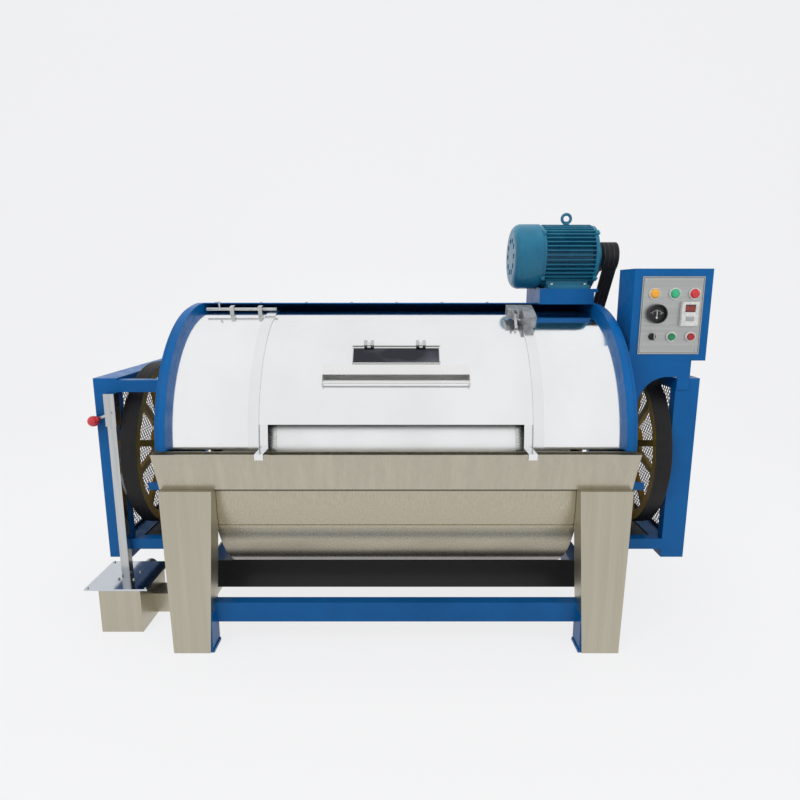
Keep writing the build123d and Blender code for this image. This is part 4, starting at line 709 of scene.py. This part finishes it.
net_low_y, net_high_y, net_low_z, net_high_z = -0.250, 0.640, 0.293, 0.932
net_x, net_middle, edge_low, edge_high = 1.130, 0.0015, 0.0001, 0.0029
net_edge, net_pitch, net_lean = 0.012, 0.020, 1.35
net_wire_radius, net_layer, shortest_share = 0.0016, 0.0007, 0.02
net_rise = net_high_z - net_low_z
net_run = net_rise / net_lean
shape = bmesh.new()
for side in (-1, 1):
    for slope in (-1, 1):
        wire_x = side * net_x + net_middle + slope * net_layer
        offset = net_low_y - net_run
        while offset < net_high_y + net_run:
            delta = slope * net_run
            shares = sorted(((net_low_y - offset) / delta, (net_high_y - offset) / delta))
            low_share, high_share = max(0.0, shares[0]), min(1.0, shares[1])
            if high_share - low_share > shortest_share:
                ends = [(wire_x, offset + delta * share, net_low_z + net_rise * share)
                        for share in (low_share, high_share)]
                wire(shape, *ends, net_wire_radius, 4)
            offset += net_pitch
show("net_wires", shape, net_paint, stands_for=("guard_nets",))
shape = bmesh.new()
for side in (-1, 1):
    for low_y, high_y, low_z, high_z in border_bars(net_low_y, net_high_y,
                                                    net_low_z, net_high_z, net_edge):
        soft_block(shape, (side * net_x + edge_low, low_y, low_z),
                   (side * net_x + edge_high, high_y, high_z), edge=0.0004, segments=1)
show("net_edges", shape, net_paint, stands_for=("guard_nets",))


# Bolts on the bearing housings

housing_bolt_x, housing_bolt_y, housing_foot_z = 0.755, 0.105, 0.605
housing_cap_x, housing_cap_radius = 0.786, 0.0865
shape = bmesh.new()
for side in (-1, 1):
    for bolt_y in (-housing_bolt_y, housing_bolt_y):
        hex_bolt(shape, (side * housing_bolt_x, bolt_y, housing_foot_z), "z", size=0.0085)
    bolt_circle(shape, (side * housing_cap_x, 0, drum_axis_z), housing_cap_radius, 6,
                size=0.0042, flip=side)
show("bearing_bolts", shape, bright_steel, smooth=False)


# Bolts on the motor's end shield, bearing cap and feet, and screws on its terminal box

motor_axis_y, motor_axis_z = 0.050, 1.440
shield_x, shield_radius, cap_x, cap_radius = 0.814, 0.126, 0.846, 0.036
foot_xs, foot_half_y, foot_top = (0.633, 0.767), 0.096, 1.324
terminal_xs, terminal_zs, terminal_y = (0.661, 0.751), (1.395, 1.485), 0.210
shape = bmesh.new()
bolt_circle(shape, (shield_x, motor_axis_y, motor_axis_z), shield_radius, 4, size=0.0065)
bolt_circle(shape, (cap_x, motor_axis_y, motor_axis_z), cap_radius, 4, size=0.0042)
for bolt_x in foot_xs:
    for bolt_y in (motor_axis_y - foot_half_y, motor_axis_y + foot_half_y):
        hex_bolt(shape, (bolt_x, bolt_y, foot_top), "z", size=0.0075)
for screw_x in terminal_xs:
    for screw_z in terminal_zs:
        pan_screw(shape, (screw_x, terminal_y, screw_z), "y", size=0.0042, flip=-1)
show("motor_bolts", shape, bright_steel, smooth=False)


# Bolts round the foot of the lever post, and screws along the rear cover

drain_plate_top, post_bolt_step = 0.180, 0.030
shape = bmesh.new()
for side_x in (-1, 1):
    for side_y in (-1, 1):
        place = (lever_pivot.x + side_x * post_bolt_step, lever_pivot.y + side_y * post_bolt_step,
                 drain_plate_top)
        hex_bolt(shape, place, "z", size=0.0055)
show("post_bolts", shape, bright_steel, smooth=False)

cover_back, cover_rows, ridge_y, ridge_top = 0.518, (0.640, 0.720), 0.012, 1.2507
first_screw_x, screw_step, motor_base_x = -0.76, 0.19, 0.55
shape = bmesh.new()
for step in range(9):
    screw_x = first_screw_x + screw_step * step
    for screw_z in cover_rows:
        pan_screw(shape, (screw_x, cover_back, screw_z), "y", size=0.006, flip=-1)
    if screw_x < motor_base_x:
        pan_screw(shape, (screw_x, ridge_y, ridge_top), "z", size=0.006)
show("cover_screws", shape, bright_steel, smooth=False)


# Camera

camera = bpy.data.objects.new("camera", bpy.data.cameras.new("camera"))
bpy.context.scene.collection.objects.link(camera)
camera.location = (0.014, -2.4525, 1.304)
camera.rotation_euler = (math.radians(79.2), 0, 0)
camera.data.lens = 26.0
camera.data.sensor_width = 36.0
bpy.context.scene.camera = camera


# Backdrop: a floor that sweeps up into a wall, and that looks evenly lit to the camera

floor_half, floor_front, floor_drop = 9.0, -8.0, 0.001
wall_back, wall_height, sweep_radius, sweep_steps = 5.0, 7.0, 2.5, 24
glow_share = 0.85
profile = [(floor_front, 0.0), (wall_back - sweep_radius, 0.0)]
for step in range(1, sweep_steps + 1):
    turn = math.radians(90 * step / sweep_steps)
    profile.append((wall_back - sweep_radius + sweep_radius * math.sin(turn),
                    sweep_radius - sweep_radius * math.cos(turn)))
profile.append((wall_back, wall_height))
backdrop_mesh = bpy.data.meshes.new("backdrop")
backdrop_points = [(x, y, z - floor_drop) for x in (-floor_half, floor_half) for y, z in profile]
count = len(profile)
backdrop_faces = [(i, count + i, count + i + 1, i + 1) for i in range(count - 1)]
backdrop_mesh.from_pydata(backdrop_points, [], backdrop_faces)
backdrop = bpy.data.objects.new("backdrop", backdrop_mesh)
bpy.context.scene.collection.objects.link(backdrop)
for face in backdrop_mesh.polygons:
    face.use_smooth = True

stage_finish = Finish("stage_finish", roughness=0.8, specular=0.1)
stage_finish.colour(stage_finish.blend(stage_finish.noise(0.6, detail=2),
                                       tone(226, 227, 229), tone(221, 222, 224)))
glow = stage_finish.tree.nodes.new("ShaderNodeEmission")
glow.inputs["Color"].default_value = tone(249, 249, 250)
path = stage_finish.tree.nodes.new("ShaderNodeLightPath")
seen = stage_finish.combine("MAXIMUM", path.outputs["Is Camera Ray"], path.outputs["Is Glossy Ray"])
glow_mix = stage_finish.tree.nodes.new("ShaderNodeMixShader")
stage_finish.tree.links.new(stage_finish.combine("MULTIPLY", seen, glow_share), glow_mix.inputs[0])
stage_finish.tree.links.new(stage_finish.shader.outputs[0], glow_mix.inputs[1])
stage_finish.tree.links.new(glow.outputs[0], glow_mix.inputs[2])
stage_finish.tree.links.new(glow_mix.outputs[0], stage_finish.output.inputs["Surface"])
backdrop.data.materials.append(stage_finish.material)


# World: soft light on the machine, and a brighter even sky where the sky itself is seen

world = bpy.data.worlds.new("world")
bpy.context.scene.world = world
world.use_nodes = True
tree = world.node_tree
tree.nodes.clear()
world_output = tree.nodes.new("ShaderNodeOutputWorld")
skies = []
for sky_colour, strength in ((tone(238, 240, 244), 0.55), (tone(240, 241, 243), 1.0)):
    sky = tree.nodes.new("ShaderNodeBackground")
    sky.inputs["Color"].default_value = sky_colour
    sky.inputs["Strength"].default_value = strength
    skies.append(sky)
path = tree.nodes.new("ShaderNodeLightPath")
seen = value_node(tree, "MAXIMUM", path.outputs["Is Camera Ray"], path.outputs["Is Glossy Ray"])
seen = value_node(tree, "MAXIMUM", seen, path.outputs["Is Transmission Ray"])
sky_mix = tree.nodes.new("ShaderNodeMixShader")
tree.links.new(seen, sky_mix.inputs[0])
tree.links.new(skies[0].outputs[0], sky_mix.inputs[1])
tree.links.new(skies[1].outputs[0], sky_mix.inputs[2])
tree.links.new(sky_mix.outputs[0], world_output.inputs["Surface"])


# Lamps, each with its place, aim, size and power

for name, place, aim, size, power in (
        ("key", (-2.6, -3.6, 4.2), (0, 0, 0.7), 2.8, 95),
        ("fill", (3.4, -3.2, 2.8), (0, 0, 0.7), 2.6, 50),
        ("top", (0.0, 0.6, 4.8), (0, 0, 0.8), 3.2, 60),
        ("back", (0.0, 3.8, 3.2), (0, 0, 0.8), 2.4, 26)):
    lamp_data = bpy.data.lights.new(name, "AREA")
    lamp_data.energy = power
    lamp_data.size = size
    lamp_object = bpy.data.objects.new(name, lamp_data)
    lamp_object.visible_glossy = False
    lamp_object.location = place
    direction = Vector(aim) - Vector(place)
    lamp_object.rotation_euler = direction.to_track_quat("-Z", "Y").to_euler()
    bpy.context.scene.collection.objects.link(lamp_object)

bpy.context.scene.view_settings.view_transform = "Standard"
